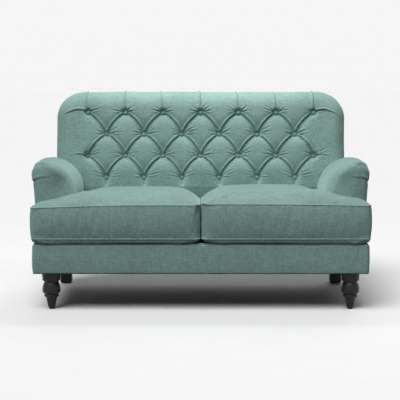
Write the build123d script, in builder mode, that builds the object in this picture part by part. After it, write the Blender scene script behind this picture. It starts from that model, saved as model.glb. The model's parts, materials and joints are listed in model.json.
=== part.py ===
from build123d import *
from math import atan2, cos, degrees, radians, sin
import os

os.makedirs("parts", exist_ok=True)

# Overall size of the sofa, in millimetres
overall_width = 1440.0  # across the arm rolls
overall_depth = 870.0  # cushion fronts to the rear edge of the back
overall_height = 900.0  # floor to the top of the back

# Base frame and its borders
leg_height = 160.0  # floor to the underside of the rails
base_inset = 10.0  # side borders inside the arm rolls
rail_height = 108.0
rail_thickness = 32.0
border_thickness = 14.0  # padding outside the rails
border_wrap = 10.0  # how far a border laps onto the rail tops
border_round = 12.0  # rounded upper edge of a border
cushion_overhang = 15.0  # cushion fronts ahead of the front border
brace_width = 32.0
brace_height = 60.0
block_side = 80.0  # leg of a triangular corner block
block_height = 45.0
dust_cover_thickness = 1.0
dust_cover_inset = 4.0  # cover edge inside the border's outer face

# Legs and glides
front_leg_inset_x = 29.0  # leg axis from the side rail's inner face
front_leg_inset_y = 14.0  # leg axis from the front rail's inner face
leg_cap_radius = 39.5  # turned disc under the frame
leg_collar_radius = 38.0
leg_cove_radius = 30.2
leg_bulb_radius = 38.5
leg_waist_radius = 28.0
leg_ring_radius = 30.5
leg_ankle_radius = 21.0
leg_toe_radius = 15.0
leg_cap_base = 143.0  # heights of the turned profile above the floor
leg_collar_base = 124.0
leg_cove_height = 116.0
leg_bulb_height = 83.0
leg_waist_height = 65.0
leg_ring_height = 55.0
leg_ankle_height = 38.0
leg_toe_height = 10.0
rear_leg_width = 52.0
rear_leg_chamfer = 5.0
glide_radius = 11.0
glide_thickness = 3.0
glide_pin_radius = 1.5
glide_pin_length = 15.0

# Fasteners
dowel_radius = 5.0
dowel_length = 50.0
bolt_radius = 4.0
bolt_bite = 45.0  # hanger bolt inside the leg, and inside a rear post
tee_nut_flange_radius = 11.0
tee_nut_flange = 1.5
tee_nut_barrel_radius = 5.4
tee_nut_barrel = 9.0
screw_radius = 2.5
screw_head_radius = 5.0
screw_head_height = 4.0
screw_bite = 22.0  # block screw inside the rail
screw_seat = 20.0  # block wood under the screw head
screw_reach = 45.0  # screw from the block's corner
fastener_gap = 0.1  # hole wall to fastener
socket_room = 1.0  # spare depth past a fastener's end

# Seat suspension
spring_count = 7
spring_spacing = 148.0
spring_wire = 4.0
spring_pitch = 42.0  # nearest distance between two runs of a spring
spring_half_run = 24.0  # half of a straight run, left to right
clip_plate = 2.0
clip_width = 18.0
clip_length = 16.0
clip_play = 0.2
clip_edge = 2.0  # clip from the border's lap and the rail's inner edge
deck_cover_thickness = 2.0
deck_pad_thickness = 10.0
deck_edge = 4.0  # deck from the arm posts

# Seat cushions
cushion_seam_drop = 19.0  # lower seam above the cushion's underside
cushion_box_height = 142.0  # lower seam to upper seam
cushion_crown = 45.0  # crown above the front seam
cushion_crown_spare = 4.0  # front to back curve above the side to side crown
cushion_rear_fall = 22.0  # rear seam below the front seam
cushion_ear_fall = 9.0  # outer seam below the centre seam
cushion_swell = 6.0  # bulge of the boxing past its seams
cushion_under_round = 22.0  # underside drawn in from the lower seam
cushion_ear_reach = 5.0  # ear past the side border
cushion_corner = 16.0  # rounded upright corners
cushion_shoulder = 150.0  # centre seam to the start of the flat crown
cushion_cover_thickness = 2.5
cushion_core_gap = 0.4
cushion_gap = 2.0  # between the two cushions
soft_gap = 0.3  # clear space between soft pieces
side_gap = 1.0  # cushion to the arm and to the back

# Arms
arm_width = 184.0  # inner face to the outside of the roll
arm_height = 606.0  # floor to the top of the roll
arm_setback = 124.0  # arm fronts behind the cushion fronts
arm_roll_radius = 150.0  # inner curve of the roll
arm_outer_radius = 34.0
arm_front_round = 28.0
arm_wall = 66.0  # padding inside the arm frame
arm_front_wall = 44.0  # padding in front of the arm post
arm_roll_padding = 46.0  # padding over the arm's top rail
arm_rail_width = 92.0
arm_rail_thickness = 32.0
arm_post_width = 58.0
arm_post_thickness = 32.0
arm_tack_width = 28.0
arm_tack_height = 40.0
arm_tack_rise = 12.0  # tacking rail above the deck
arm_panel_thickness = 8.0
arm_panel_foot = 11.0  # panel's lower edge inside the side border
arm_panel_flare = 13.0  # panel's lean outwards to the roll

# Back
back_rake = 11.0  # lean of the back, in degrees
lean_height = 470.0  # the pad stands upright below this height
back_pad_thickness = 156.0
back_wrap = 12.0  # pad carried over the rear of the top rail
back_roll_radius = 85.0  # rolled front of the pad's top edge
back_side_round = 40.0  # rounded front of the pad's side edges
back_corner_radius = 125.0
back_rear_round = 25.0  # rear edge of the wrapped pad
back_top_padding = 40.0  # padding over the top rail
webbing_thickness = 2.5
webbing_width = 50.0
webbing_lap = 30.0  # strap end on its rail
post_width = 58.0
post_depth = 48.0
top_rail_height = 90.0
back_tack_height = 60.0
back_tack_drop = 90.0  # tacking rail's top below the lean's start
bottom_rail_height = 60.0
upright_width = 50.0
side_panel_thickness = 8.0
outside_panel_thickness = 8.0

# Tufting
button_pitch = 174.0
button_row_pitch = 100.0
button_row_drop = 108.0  # first row below the top of the back
button_rows = 4
button_columns = 7  # in the first row, one fewer in the next
button_radius = 11.0
button_height = 8.0
button_round = 4.0
button_depth = 34.0  # button's underside behind the pad's face
well_radius = 13.0
dimple_radius = 34.0
pleat_half_width = 54.0
pleat_shoulder = 24.0  # half width where the fold steepens
pleat_shoulder_depth = 11.0
pleat_depth = 27.0
side_pleat_reach = 140.0
pleat_clear = 6.0  # cutter standing above the pad's face
twine_radius = 1.0
twine_gap = 0.3
twine_knot_radius = 6.0
twine_knot_height = 3.0

# Base frame places
half_width = overall_width / 2
front_y = -overall_depth / 2
rear_y = overall_depth / 2
base_half = half_width - base_inset
base_front = front_y + cushion_overhang
rail_front = base_front + border_thickness
front_rail_inner = rail_front + rail_thickness
rail_side = base_half - border_thickness
side_rail_inner = rail_side - rail_thickness
rail_bottom = leg_height
rail_top = rail_bottom + rail_height
spring_level = rail_top + clip_plate + spring_wire / 2
deck_cover_bottom = rail_top + 2 * clip_plate + spring_wire + clip_play
deck_pad_bottom = deck_cover_bottom + deck_cover_thickness
base_top = deck_pad_bottom + deck_pad_thickness

# Back places, v up the slope and w out of the pad's face
rake = radians(back_rake)
back_thickness = back_pad_thickness + webbing_thickness + post_depth + back_wrap
frame_face = -(back_pad_thickness + webbing_thickness)
frame_middle = frame_face - post_depth / 2
frame_rear = frame_face - post_depth
roll_centre = (overall_height - back_roll_radius - lean_height + back_roll_radius * sin(rake)) / cos(rake)
back_top = roll_centre + back_roll_radius
rail_crest = back_top - back_top_padding
hem = rail_crest - top_rail_height
rear_edge = back_top - back_rear_round
rear_inset = back_rear_round + (back_thickness - back_rear_round) * cos(rake)
seat_back_y = rear_y - rear_inset - rear_edge * sin(rake)
post_outer = side_rail_inner
post_inner = post_outer - post_width
post_middle = (post_outer + post_inner) / 2
back_half = post_outer + side_panel_thickness
back_tack_top = -back_tack_drop
back_tack_bottom = back_tack_top - back_tack_height


def lean_point(v, w):
    # Y and Z of a point of the leaning back
    y = seat_back_y + v * sin(rake) - w * cos(rake)
    z = lean_height + v * cos(rake) + w * sin(rake)
    return (y, z)


def lean_rise(z, w):
    # distance up the slope at a height on the plane w
    return (z - lean_height - w * sin(rake)) / cos(rake)


back_plane = Plane(
    origin=(0, seat_back_y, lean_height), x_dir=(1, 0, 0), z_dir=(0, -cos(rake), sin(rake))
)
up_slope = (0, sin(rake), cos(rake))
out_of_face = (0, -cos(rake), sin(rake))
frame_rear_plane = back_plane.offset(frame_rear)
frame_face_plane = back_plane.offset(frame_face)
frame_foot = lean_rise(rail_bottom, frame_rear) - rail_height  # well below the cut at the rail's underside
rear_rail_back = lean_point(lean_rise(rail_bottom, frame_face), frame_face)[0]
rear_rail_front = rear_rail_back - rail_thickness
beyond_rear = rear_y + overall_depth  # past everything that the leaning planes trim
bottom_rail_low = lean_rise(rail_bottom, frame_face)
bottom_rail_middle = bottom_rail_low + bottom_rail_height / 2

# Arm places
arm_inner = half_width - arm_width
arm_front = front_y + arm_setback
arm_cavity_front = arm_front + arm_front_wall
arm_cavity_inner = arm_inner + arm_wall
arm_cavity_outer = arm_cavity_inner + arm_rail_width
arm_rail_middle = (arm_cavity_inner + arm_cavity_outer) / 2
arm_rail_top = arm_height - arm_roll_padding
arm_rail_bottom = arm_rail_top - arm_rail_thickness
arm_post_back = arm_cavity_front + arm_post_thickness
arm_panel_low = base_half - arm_panel_foot
arm_panel_high = arm_panel_low + arm_panel_flare

# Leg places
front_leg_x = side_rail_inner - front_leg_inset_x
front_leg_y = front_rail_inner + front_leg_inset_y
rear_leg_x = post_middle
rear_leg_y = (rear_rail_back + lean_point(lean_rise(rail_bottom, frame_rear), frame_rear)[0]) / 2
block_top = rail_bottom + block_height

# Cushion places
cushion_bottom = base_top + soft_gap
lower_seam = cushion_bottom + cushion_seam_drop
upper_seam = lower_seam + cushion_box_height
crown_top = upper_seam + cushion_crown
cushion_rear = seat_back_y - side_gap
cushion_body = arm_inner - side_gap
ear_rear = arm_front - side_gap
ear_end = base_half + cushion_ear_reach

sides = ((-1, "left"), (1, "right"))


def finish(builder, name):
    # label a finished piece and write it
    builder.part.label = name
    export_step(builder.part, f"parts/{name}.step")


# Button places on the back's face
button_places = []
for row in range(button_rows):
    columns = button_columns - row % 2
    for column in range(columns):
        across = (column - (columns - 1) / 2) * button_pitch
        button_places.append((across, back_top - button_row_drop - row * button_row_pitch))
first_row = [p for p in button_places if p[1] == button_places[0][1]]
last_row = [p for p in button_places if p[1] == button_places[-1][1]]
strap_count = 2 * button_columns - 1
strap_places = [(i - (strap_count - 1) / 2) * button_pitch / 2 for i in range(strap_count)]

# Dowel joints of the frame: a centre on the joint's face, and the dowel's direction
low_dowel = rail_bottom + rail_height / 4
high_dowel = rail_top - rail_height / 4
arm_post_middle = (arm_cavity_front + arm_post_back) / 2
rail_joints = [low_dowel, high_dowel]
back_cross_rails = [(back_tack_bottom + back_tack_top) / 2, bottom_rail_middle]
dowel_places = []
side_rail_middle = rail_side - rail_thickness / 2
rear_rail_middle = rear_rail_back - rail_thickness / 2
for side, hand in sides:
    for level in rail_joints:
        dowel_places.append(((side * side_rail_middle, front_rail_inner, level), (0, 1, 0)))
        dowel_places.append(((side * side_rail_inner, rear_rail_middle, level), (1, 0, 0)))
    for rise in back_cross_rails:
        dowel_places.append(((side * post_inner, *lean_point(rise, frame_middle)), (1, 0, 0)))
    dowel_places.append(((side * post_middle, *lean_point(hem, frame_middle)), up_slope))
    dowel_places.append(((side * post_middle, arm_post_middle, arm_rail_bottom), (0, 0, 1)))
brace_level = rail_bottom + brace_height / 2
dowel_places.append(((0, front_rail_inner, brace_level), (0, 1, 0)))
dowel_places.append(((0, rear_rail_front, brace_level), (0, 1, 0)))
dowel_places.append(((0, *lean_point(hem, frame_middle)), up_slope))
dowel_places.append(((0, *lean_point(back_tack_top, frame_middle)), up_slope))


def dowel_set(radius, length):
    # one peg at every dowel joint
    with BuildPart() as pegs:
        for centre, direction in dowel_places:
            with BuildSketch(Plane(origin=centre, z_dir=direction)):
                Circle(radius)
        extrude(amount=length / 2, both=True)
    return pegs.part


dowel_sockets = dowel_set(dowel_radius + fastener_gap, dowel_length + 2 * socket_room)

# Corner block screws: a point on the rail's face and the direction from the rail into the block
screw_level = rail_bottom + block_height / 2
screw_places = []
for side, hand in sides:
    for rail_y, inward in ((front_rail_inner, 1), (rear_rail_front, -1)):
        along_rail = (side * (side_rail_inner - screw_reach), rail_y, screw_level)
        along_side = (side * side_rail_inner, rail_y + inward * screw_reach, screw_level)
        screw_places.append((along_rail, (0, inward, 0)))
        screw_places.append((along_side, (-side, 0, 0)))


def screw_set(gap, head_length):
    # one screw at every block joint, larger all round by the gap
    with BuildPart() as screws:
        for face, inward in screw_places:
            plane = Plane(origin=face, z_dir=inward)
            with BuildSketch(plane.offset(-screw_bite - 2 * gap)):
                Circle(screw_radius + gap)
        extrude(amount=screw_bite + screw_seat + 2 * gap)
        for face, inward in screw_places:
            with BuildSketch(Plane(origin=face, z_dir=inward).offset(screw_seat)):
                Circle(screw_head_radius + gap)
        extrude(amount=head_length)
    return screws.part


screw_sockets = screw_set(fastener_gap, block_side)

# Pockets in the back frame for the knots of the button twines
with BuildPart() as knot_pockets:
    with BuildSketch(frame_face_plane):
        with Locations(button_places):
            Circle(twine_knot_radius + twine_gap)
    extrude(amount=-twine_knot_height - twine_gap)

# Leg bolts: axis, lowest and highest point
bolt_top = block_top + tee_nut_flange + socket_room
bolt_places = []
for side, hand in sides:
    bolt_places.append((side * front_leg_x, front_leg_y, bolt_top))
    bolt_places.append((side * rear_leg_x, rear_leg_y, rail_bottom + bolt_bite))


def bolt_set(radius, room):
    # one upright bolt at every leg
    with BuildPart() as bolts:
        for x, y, top in bolt_places:
            with BuildSketch(Plane.XY.offset(leg_height - bolt_bite - room)):
                with Locations((x, y)):
                    Circle(radius)
            extrude(amount=top - leg_height + bolt_bite + 2 * room)
    return bolts.part


bolt_sockets = bolt_set(bolt_radius + fastener_gap, socket_room)

# Front seat rail
with BuildPart() as front_seat_rail:
    with BuildSketch(Plane.XY.offset(rail_bottom)):
        with Locations((0, (rail_front + front_rail_inner) / 2)):
            Rectangle(2 * rail_side, rail_thickness)
    extrude(amount=rail_height)
    add(dowel_sockets, mode=Mode.SUBTRACT)
    add(screw_sockets, mode=Mode.SUBTRACT)
finish(front_seat_rail, "front_seat_rail")

# Rear seat rail, in front of the back posts
with BuildPart() as rear_seat_rail:
    with BuildSketch(Plane.XY.offset(rail_bottom)):
        with Locations((0, rear_rail_middle)):
            Rectangle(2 * side_rail_inner, rail_thickness)
    extrude(amount=rail_height)
    add(dowel_sockets, mode=Mode.SUBTRACT)
    add(screw_sockets, mode=Mode.SUBTRACT)
finish(rear_seat_rail, "rear_seat_rail")

# Side rails, trimmed to the lean at the rear
for side, hand in sides:
    with BuildPart() as side_rail:
        with BuildSketch(Plane.XY.offset(rail_bottom)):
            with Locations((side * side_rail_middle, (front_rail_inner + beyond_rear) / 2)):
                Rectangle(rail_thickness, beyond_rear - front_rail_inner)
        extrude(amount=rail_height)
        split(bisect_by=frame_rear_plane, keep=Keep.TOP)
        add(dowel_sockets, mode=Mode.SUBTRACT)
        add(screw_sockets, mode=Mode.SUBTRACT)
    finish(side_rail, f"{hand}_side_rail")

# Centre brace under the springs
with BuildPart() as centre_brace:
    with BuildSketch(Plane.XY.offset(rail_bottom)):
        with Locations((0, (front_rail_inner + rear_rail_front) / 2)):
            Rectangle(brace_width, rear_rail_front - front_rail_inner)
    extrude(amount=brace_height)
    add(dowel_sockets, mode=Mode.SUBTRACT)
finish(centre_brace, "centre_brace")

# Triangular corner blocks, which carry the front legs
with BuildPart() as corner_blocks:
    with BuildSketch(Plane.XY.offset(rail_bottom)):
        for side, hand in sides:
            for rail_y, inward in ((front_rail_inner, 1), (rear_rail_front, -1)):
                corner = (side * side_rail_inner, rail_y)
                along_rail = (side * (side_rail_inner - block_side), rail_y)
                along_side = (side * side_rail_inner, rail_y + inward * block_side)
                with BuildLine():
                    Polyline(corner, along_rail, along_side, close=True)
                make_face()
    extrude(amount=block_height)
    add(screw_sockets, mode=Mode.SUBTRACT)
    add(bolt_sockets, mode=Mode.SUBTRACT)
    with BuildSketch(Plane.XY.offset(block_top)):
        with Locations((-front_leg_x, front_leg_y), (front_leg_x, front_leg_y)):
            Circle(tee_nut_barrel_radius + fastener_gap)
    extrude(amount=-tee_nut_barrel - socket_room, mode=Mode.SUBTRACT)
finish(corner_blocks, "corner_blocks")

# Frame dowels, a solid each
with BuildPart() as frame_dowels:
    add(dowel_set(dowel_radius, dowel_length))
finish(frame_dowels, "frame_dowels")

# Corner block screws, a solid each
with BuildPart() as block_screws:
    add(screw_set(0, screw_head_height))
finish(block_screws, "block_screws")

# Hanger bolts of the legs
with BuildPart() as leg_bolts:
    add(bolt_set(bolt_radius, 0))
finish(leg_bolts, "leg_bolts")

# Tee nuts on the front corner blocks
with BuildPart() as tee_nuts:
    with BuildSketch(Plane.XY.offset(block_top)):
        with Locations((-front_leg_x, front_leg_y), (front_leg_x, front_leg_y)):
            Circle(tee_nut_flange_radius)
    extrude(amount=tee_nut_flange)
    with BuildSketch(Plane.XY.offset(block_top)):
        with Locations((-front_leg_x, front_leg_y), (front_leg_x, front_leg_y)):
            Circle(tee_nut_barrel_radius)
    extrude(amount=-tee_nut_barrel)
    add(bolt_sockets, mode=Mode.SUBTRACT)
finish(tee_nuts, "tee_nuts")

# Leaning back posts, cut level at the rails' underside
for side, hand in sides:
    with BuildPart() as back_post:
        with BuildSketch(frame_face_plane):
            with Locations((side * post_middle, (hem + frame_foot) / 2)):
                Rectangle(post_width, hem - frame_foot)
        extrude(amount=-post_depth)
        split(bisect_by=Plane.XY.offset(rail_bottom), keep=Keep.TOP)
        add(dowel_sockets, mode=Mode.SUBTRACT)
        add(bolt_sockets, mode=Mode.SUBTRACT)
    finish(back_post, f"{hand}_back_post")


def rail_outline(half, low, high, corner):
    # upright outline with two rounded upper corners
    with BuildSketch() as outline:
        with BuildLine():
            Line((-half, low), (half, low))
            Line((half, low), (half, high - corner))
            RadiusArc((half, high - corner), (half - corner, high), -corner)
            Line((half - corner, high), (-half + corner, high))
            RadiusArc((-half + corner, high), (-half, high - corner), -corner)
            Line((-half, high - corner), (-half, low))
        make_face()
    return outline.sketch


# Back top rail, with corners that follow the pad's
top_rail_corner = back_corner_radius - back_top_padding
with BuildPart() as back_top_rail:
    with BuildSketch(frame_face_plane):
        add(rail_outline(post_outer, hem, rail_crest, top_rail_corner))
    extrude(amount=-post_depth)
    add(dowel_sockets, mode=Mode.SUBTRACT)
    add(knot_pockets.part, mode=Mode.SUBTRACT)
finish(back_top_rail, "back_top_rail")

# Back tacking rail, where the webbing ends
with BuildPart() as back_tack_rail:
    with BuildSketch(frame_face_plane):
        with Locations((0, (back_tack_bottom + back_tack_top) / 2)):
            Rectangle(2 * post_inner, back_tack_height)
    extrude(amount=-post_depth)
    add(dowel_sockets, mode=Mode.SUBTRACT)
finish(back_tack_rail, "back_tack_rail")

# Back bottom rail, behind the rear seat rail
with BuildPart() as back_bottom_rail:
    with BuildSketch(frame_face_plane):
        with Locations((0, bottom_rail_middle)):
            Rectangle(2 * post_inner, bottom_rail_height)
    extrude(amount=-post_depth)
    split(bisect_by=Plane.XY.offset(rail_bottom), keep=Keep.TOP)
    add(dowel_sockets, mode=Mode.SUBTRACT)
finish(back_bottom_rail, "back_bottom_rail")

# Centre upright of the back
with BuildPart() as back_upright:
    with BuildSketch(frame_face_plane):
        with Locations((0, (back_tack_top + hem) / 2)):
            Rectangle(upright_width, hem - back_tack_top)
    extrude(amount=-post_depth)
    add(dowel_sockets, mode=Mode.SUBTRACT)
    add(knot_pockets.part, mode=Mode.SUBTRACT)
finish(back_upright, "back_upright")

# Arm frames: front post, top rail and tacking rail
for side, hand in sides:
    with BuildPart() as arm_post:
        with BuildSketch(Plane.XY.offset(rail_bottom)):
            with Locations((side * (side_rail_inner - arm_post_width / 2), arm_post_middle)):
                Rectangle(arm_post_width, arm_post_thickness)
        extrude(amount=arm_rail_bottom - rail_bottom)
        add(dowel_sockets, mode=Mode.SUBTRACT)
    finish(arm_post, f"{hand}_arm_post")

    with BuildPart() as arm_rail:
        with BuildSketch(Plane.XY.offset(arm_rail_bottom)):
            with Locations((side * arm_rail_middle, (arm_cavity_front + beyond_rear) / 2)):
                Rectangle(arm_rail_width, beyond_rear - arm_cavity_front)
        extrude(amount=arm_rail_thickness)
        split(bisect_by=frame_face_plane, keep=Keep.TOP)
        add(dowel_sockets, mode=Mode.SUBTRACT)
    finish(arm_rail, f"{hand}_arm_rail")

    with BuildPart() as arm_tack_rail:
        with BuildSketch(Plane.XY.offset(base_top + arm_tack_rise)):
            with Locations((side * (post_inner + arm_tack_width / 2), (arm_post_back + beyond_rear) / 2)):
                Rectangle(arm_tack_width, beyond_rear - arm_post_back)
        extrude(amount=arm_tack_height)
        split(bisect_by=frame_face_plane, keep=Keep.TOP)
    finish(arm_tack_rail, f"{hand}_arm_tack_rail")

# Zigzag seat springs, from the front rail to the rear rail
spring_front = front_rail_inner - clip_edge - clip_length / 2
spring_rear = rear_rail_front + clip_edge + clip_length / 2
spring_turns = int((spring_rear - spring_front) / spring_pitch)
spring_step = (spring_rear - spring_front) / spring_turns
turn_radius = spring_step / 2
spring_places = [(i - (spring_count - 1) / 2) * spring_spacing for i in range(spring_count)]
with BuildPart() as one_spring:
    with BuildLine() as zigzag:
        for turn in range(spring_turns + 1):
            y = spring_front + turn * spring_step
            toward = 1 if turn % 2 == 0 else -1
            Line((-toward * spring_half_run, y, spring_level), (toward * spring_half_run, y, spring_level))
            if turn < spring_turns:
                bend = (toward * spring_half_run, y + turn_radius, spring_level)
                CenterArc(bend, turn_radius, -90, toward * 90)
                CenterArc(bend, turn_radius, 90 - toward * 90, toward * 90)
    with BuildSketch(Plane(origin=(-spring_half_run, spring_front, spring_level), z_dir=(1, 0, 0))):
        Circle(spring_wire / 2)
    sweep(path=zigzag.line)
with BuildPart() as seat_springs:
    with Locations([(x, 0, 0) for x in spring_places]):
        add(one_spring.part)
finish(seat_springs, "seat_springs")

# Spring clips, folded round the springs' end runs
with BuildPart() as spring_clips:
    for middle, open_way in ((spring_front, 1), (spring_rear, -1)):
        fold = middle - open_way * clip_length / 2
        mouth = middle + open_way * clip_length / 2
        wall = fold + open_way * clip_plate
        floor_top = rail_top + clip_plate
        roof = floor_top + spring_wire + clip_play
        clip_outline = [
            (fold, rail_top),
            (mouth, rail_top),
            (mouth, floor_top),
            (wall, floor_top),
            (wall, roof),
            (mouth, roof),
            (mouth, roof + clip_plate),
            (fold, roof + clip_plate),
        ]
        for x in spring_places:
            with BuildSketch(Plane.YZ.offset(x)):
                with BuildLine():
                    Polyline(*clip_outline, close=True)
                make_face()
    extrude(amount=clip_width / 2, both=True)
finish(spring_clips, "spring_clips")


def deck_sheet(level, thickness):
    # T-shaped layer that covers the springs and reaches under the cushion ears
    deck_front = rail_front + border_wrap
    deck_half = post_inner - deck_edge
    deck_ear = rail_side - border_wrap
    deck_ear_rear = arm_cavity_front - deck_edge
    with BuildPart() as sheet:
        with BuildSketch(Plane.XY.offset(level)):
            with Locations((0, (deck_front + rear_rail_back) / 2)):
                Rectangle(2 * deck_half, rear_rail_back - deck_front)
            with Locations((0, (deck_front + deck_ear_rear) / 2)):
                Rectangle(2 * deck_ear, deck_ear_rear - deck_front)
        extrude(amount=thickness)
    return sheet


spring_cover = deck_sheet(deck_cover_bottom, deck_cover_thickness)
finish(spring_cover, "spring_cover")
deck_pad = deck_sheet(deck_pad_bottom, deck_pad_thickness)
finish(deck_pad, "deck_pad")

# Upright webbing straps of the back, pierced for the button twines
strap_low = back_tack_top - webbing_lap
strap_high = hem + webbing_lap
with BuildPart() as back_webbing:
    with BuildSketch(frame_face_plane):
        with Locations([(x, (strap_low + strap_high) / 2) for x in strap_places]):
            Rectangle(webbing_width, strap_high - strap_low)
        with Locations(button_places):
            Circle(twine_radius + twine_gap, mode=Mode.SUBTRACT)
    extrude(amount=webbing_thickness)
finish(back_webbing, "back_webbing")


def arm_outline(grow):
    # section of an arm on the right, larger all round by a clearance
    roll_x = arm_inner + arm_roll_radius
    roll_z = arm_height - arm_roll_radius
    cap_x = half_width - arm_outer_radius
    cap_z = arm_height - arm_outer_radius
    inner_radius = arm_roll_radius + grow
    outer_radius = arm_outer_radius + grow
    with BuildSketch() as outline:
        with BuildLine():
            Line((arm_inner - grow, base_top), (arm_inner - grow, roll_z))
            RadiusArc((arm_inner - grow, roll_z), (roll_x, arm_height + grow), inner_radius)
            if cap_x > roll_x:
                Line((roll_x, arm_height + grow), (cap_x, arm_height + grow))
            RadiusArc((cap_x, arm_height + grow), (half_width + grow, cap_z), outer_radius)
            Line((half_width + grow, cap_z), (arm_panel_high + grow, arm_rail_bottom))
            Line((arm_panel_high + grow, arm_rail_bottom), (arm_panel_low + grow, base_top))
            Line((arm_panel_low + grow, base_top), (arm_inner - grow, base_top))
        make_face()
    return outline.sketch


# Arm pads: rolled sleeves over the arm frames, closed and rounded at the front
for side, hand in sides:
    with BuildPart() as arm_pad:
        with BuildSketch(Plane.XZ.offset(-arm_front)):
            add(arm_outline(0))
        extrude(amount=-beyond_rear)
        front_edges = arm_pad.faces().sort_by(Axis.Y)[0].edges().filter_by(
            lambda e: e.center().Z > base_top + fastener_gap
        )
        fillet(front_edges, arm_front_round)
        split(bisect_by=frame_rear_plane, keep=Keep.TOP)
        with BuildSketch(Plane.XZ.offset(-arm_cavity_front)):
            with BuildLine():
                Polyline(
                    (arm_cavity_inner, base_top),
                    (arm_cavity_inner, arm_rail_top),
                    (arm_cavity_outer, arm_rail_top),
                    (arm_cavity_outer, arm_rail_bottom),
                    (half_width, arm_rail_bottom),
                    (half_width, base_top),
                    close=True,
                )
            make_face()
        extrude(amount=-beyond_rear, mode=Mode.SUBTRACT)
        with BuildSketch(back_plane.offset(-back_pad_thickness)):
            Rectangle(2 * back_half, 2 * overall_height)
        extrude(amount=-back_thickness, mode=Mode.SUBTRACT)
        if side < 0:
            mirror(about=Plane.YZ, mode=Mode.REPLACE)
    finish(arm_pad, f"{hand}_arm_pad")

    with BuildPart() as outside_arm_panel:
        with BuildSketch(Plane.XZ.offset(-arm_cavity_front)):
            with BuildLine():
                Polyline(
                    (side * arm_panel_low, base_top),
                    (side * arm_panel_high, arm_rail_bottom),
                    (side * (arm_panel_high - arm_panel_thickness), arm_rail_bottom),
                    (side * (arm_panel_low - arm_panel_thickness), base_top),
                    close=True,
                )
            make_face()
        extrude(amount=-beyond_rear)
        split(bisect_by=frame_rear_plane, keep=Keep.TOP)
    finish(outside_arm_panel, f"{hand}_outside_arm_panel")

# Padded borders over the base rails
border_back = rail_front + border_wrap
with BuildPart() as front_border:
    with BuildSketch(Plane.XY.offset(rail_bottom)):
        with Locations((0, (base_front + border_back) / 2)):
            Rectangle(2 * base_half, border_back - base_front)
    extrude(amount=base_top - rail_bottom)
    top_edges = front_border.faces().sort_by(Axis.Z)[-1].edges()
    front_corners = front_border.faces().sort_by(Axis.Y)[0].edges().filter_by(Axis.Z)
    fillet(top_edges.sort_by(Axis.Y)[:-1] + front_corners, border_round)
    with BuildSketch(Plane.XY.offset(rail_bottom)):
        with Locations((0, rail_front + rail_thickness / 2)):
            Rectangle(2 * rail_side, rail_thickness)
    extrude(amount=rail_height, mode=Mode.SUBTRACT)
finish(front_border, "front_border")

side_border_width = border_thickness + border_wrap
for side, hand in sides:
    with BuildPart() as side_border:
        with BuildSketch(Plane.XY.offset(rail_bottom)):
            with Locations((side * (base_half - side_border_width / 2), (border_back + beyond_rear) / 2)):
                Rectangle(side_border_width, beyond_rear - border_back)
        extrude(amount=base_top - rail_bottom)
        outer_face = side_border.faces().sort_by(Axis.X)[-1 if side > 0 else 0]
        fillet(outer_face.edges().sort_by(Axis.Z)[-1], border_round)
        split(bisect_by=frame_rear_plane, keep=Keep.TOP)
        with BuildSketch(Plane.XY.offset(rail_bottom)):
            with Locations((side * side_rail_middle, beyond_rear / 2)):
                Rectangle(rail_thickness, 2 * beyond_rear)
        extrude(amount=rail_height, mode=Mode.SUBTRACT)
    finish(side_border, f"{hand}_side_border")

# Dust cover under the frame, open round the legs
dust_rear = lean_point(lean_rise(rail_bottom, frame_rear), frame_rear)[0] - dust_cover_inset
dust_front = base_front + dust_cover_inset
with BuildPart() as dust_cover:
    with BuildSketch(Plane.XY.offset(rail_bottom)):
        with Locations((0, (dust_front + dust_rear) / 2)):
            Rectangle(2 * (base_half - dust_cover_inset), dust_rear - dust_front)
        with Locations((-front_leg_x, front_leg_y), (front_leg_x, front_leg_y)):
            Circle(leg_cap_radius + socket_room, mode=Mode.SUBTRACT)
        with Locations((-rear_leg_x, rear_leg_y), (rear_leg_x, rear_leg_y)):
            Rectangle(rear_leg_width + 2 * socket_room, 2 * rear_leg_width, mode=Mode.SUBTRACT)
    extrude(amount=-dust_cover_thickness)
finish(dust_cover, "dust_cover")

# Back side panels, over the outer faces of the posts
for side, hand in sides:
    with BuildPart() as back_side_panel:
        with BuildSketch(frame_face_plane):
            with Locations((side * (post_outer + side_panel_thickness / 2), (hem + frame_foot) / 2)):
                Rectangle(side_panel_thickness, hem - frame_foot)
        extrude(amount=-post_depth)
        split(bisect_by=Plane.XY.offset(base_top), keep=Keep.TOP)
    finish(back_side_panel, f"{hand}_back_side_panel")

# Outside back panel, wider at the foot where it closes the arms and the base
arm_shoulder = lean_rise(arm_rail_top, frame_rear)
with BuildPart() as outside_back_panel:
    with BuildSketch(frame_rear_plane):
        with Locations((0, (frame_foot + hem) / 2)):
            Rectangle(2 * back_half, hem - frame_foot)
        with Locations((0, (frame_foot + arm_shoulder) / 2)):
            Rectangle(2 * arm_panel_low, arm_shoulder - frame_foot)
    extrude(amount=-outside_panel_thickness)
    split(bisect_by=Plane.XY.offset(rail_bottom), keep=Keep.TOP)
finish(outside_back_panel, "outside_back_panel")


def back_outline(top_inset, side_inset):
    # the back's front outline, drawn in at the top and the sides
    corner = back_corner_radius - top_inset
    return rail_outline(back_half - side_inset, frame_foot, back_top - top_inset, corner)


def pleat_plane(start, end):
    # square to a pleat at its start, with Y out of the pad
    start_point = back_plane.from_local_coords(start)
    along = back_plane.from_local_coords(end) - start_point
    return Plane(origin=start_point, x_dir=Vector(*out_of_face).cross(along), z_dir=along)


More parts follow.
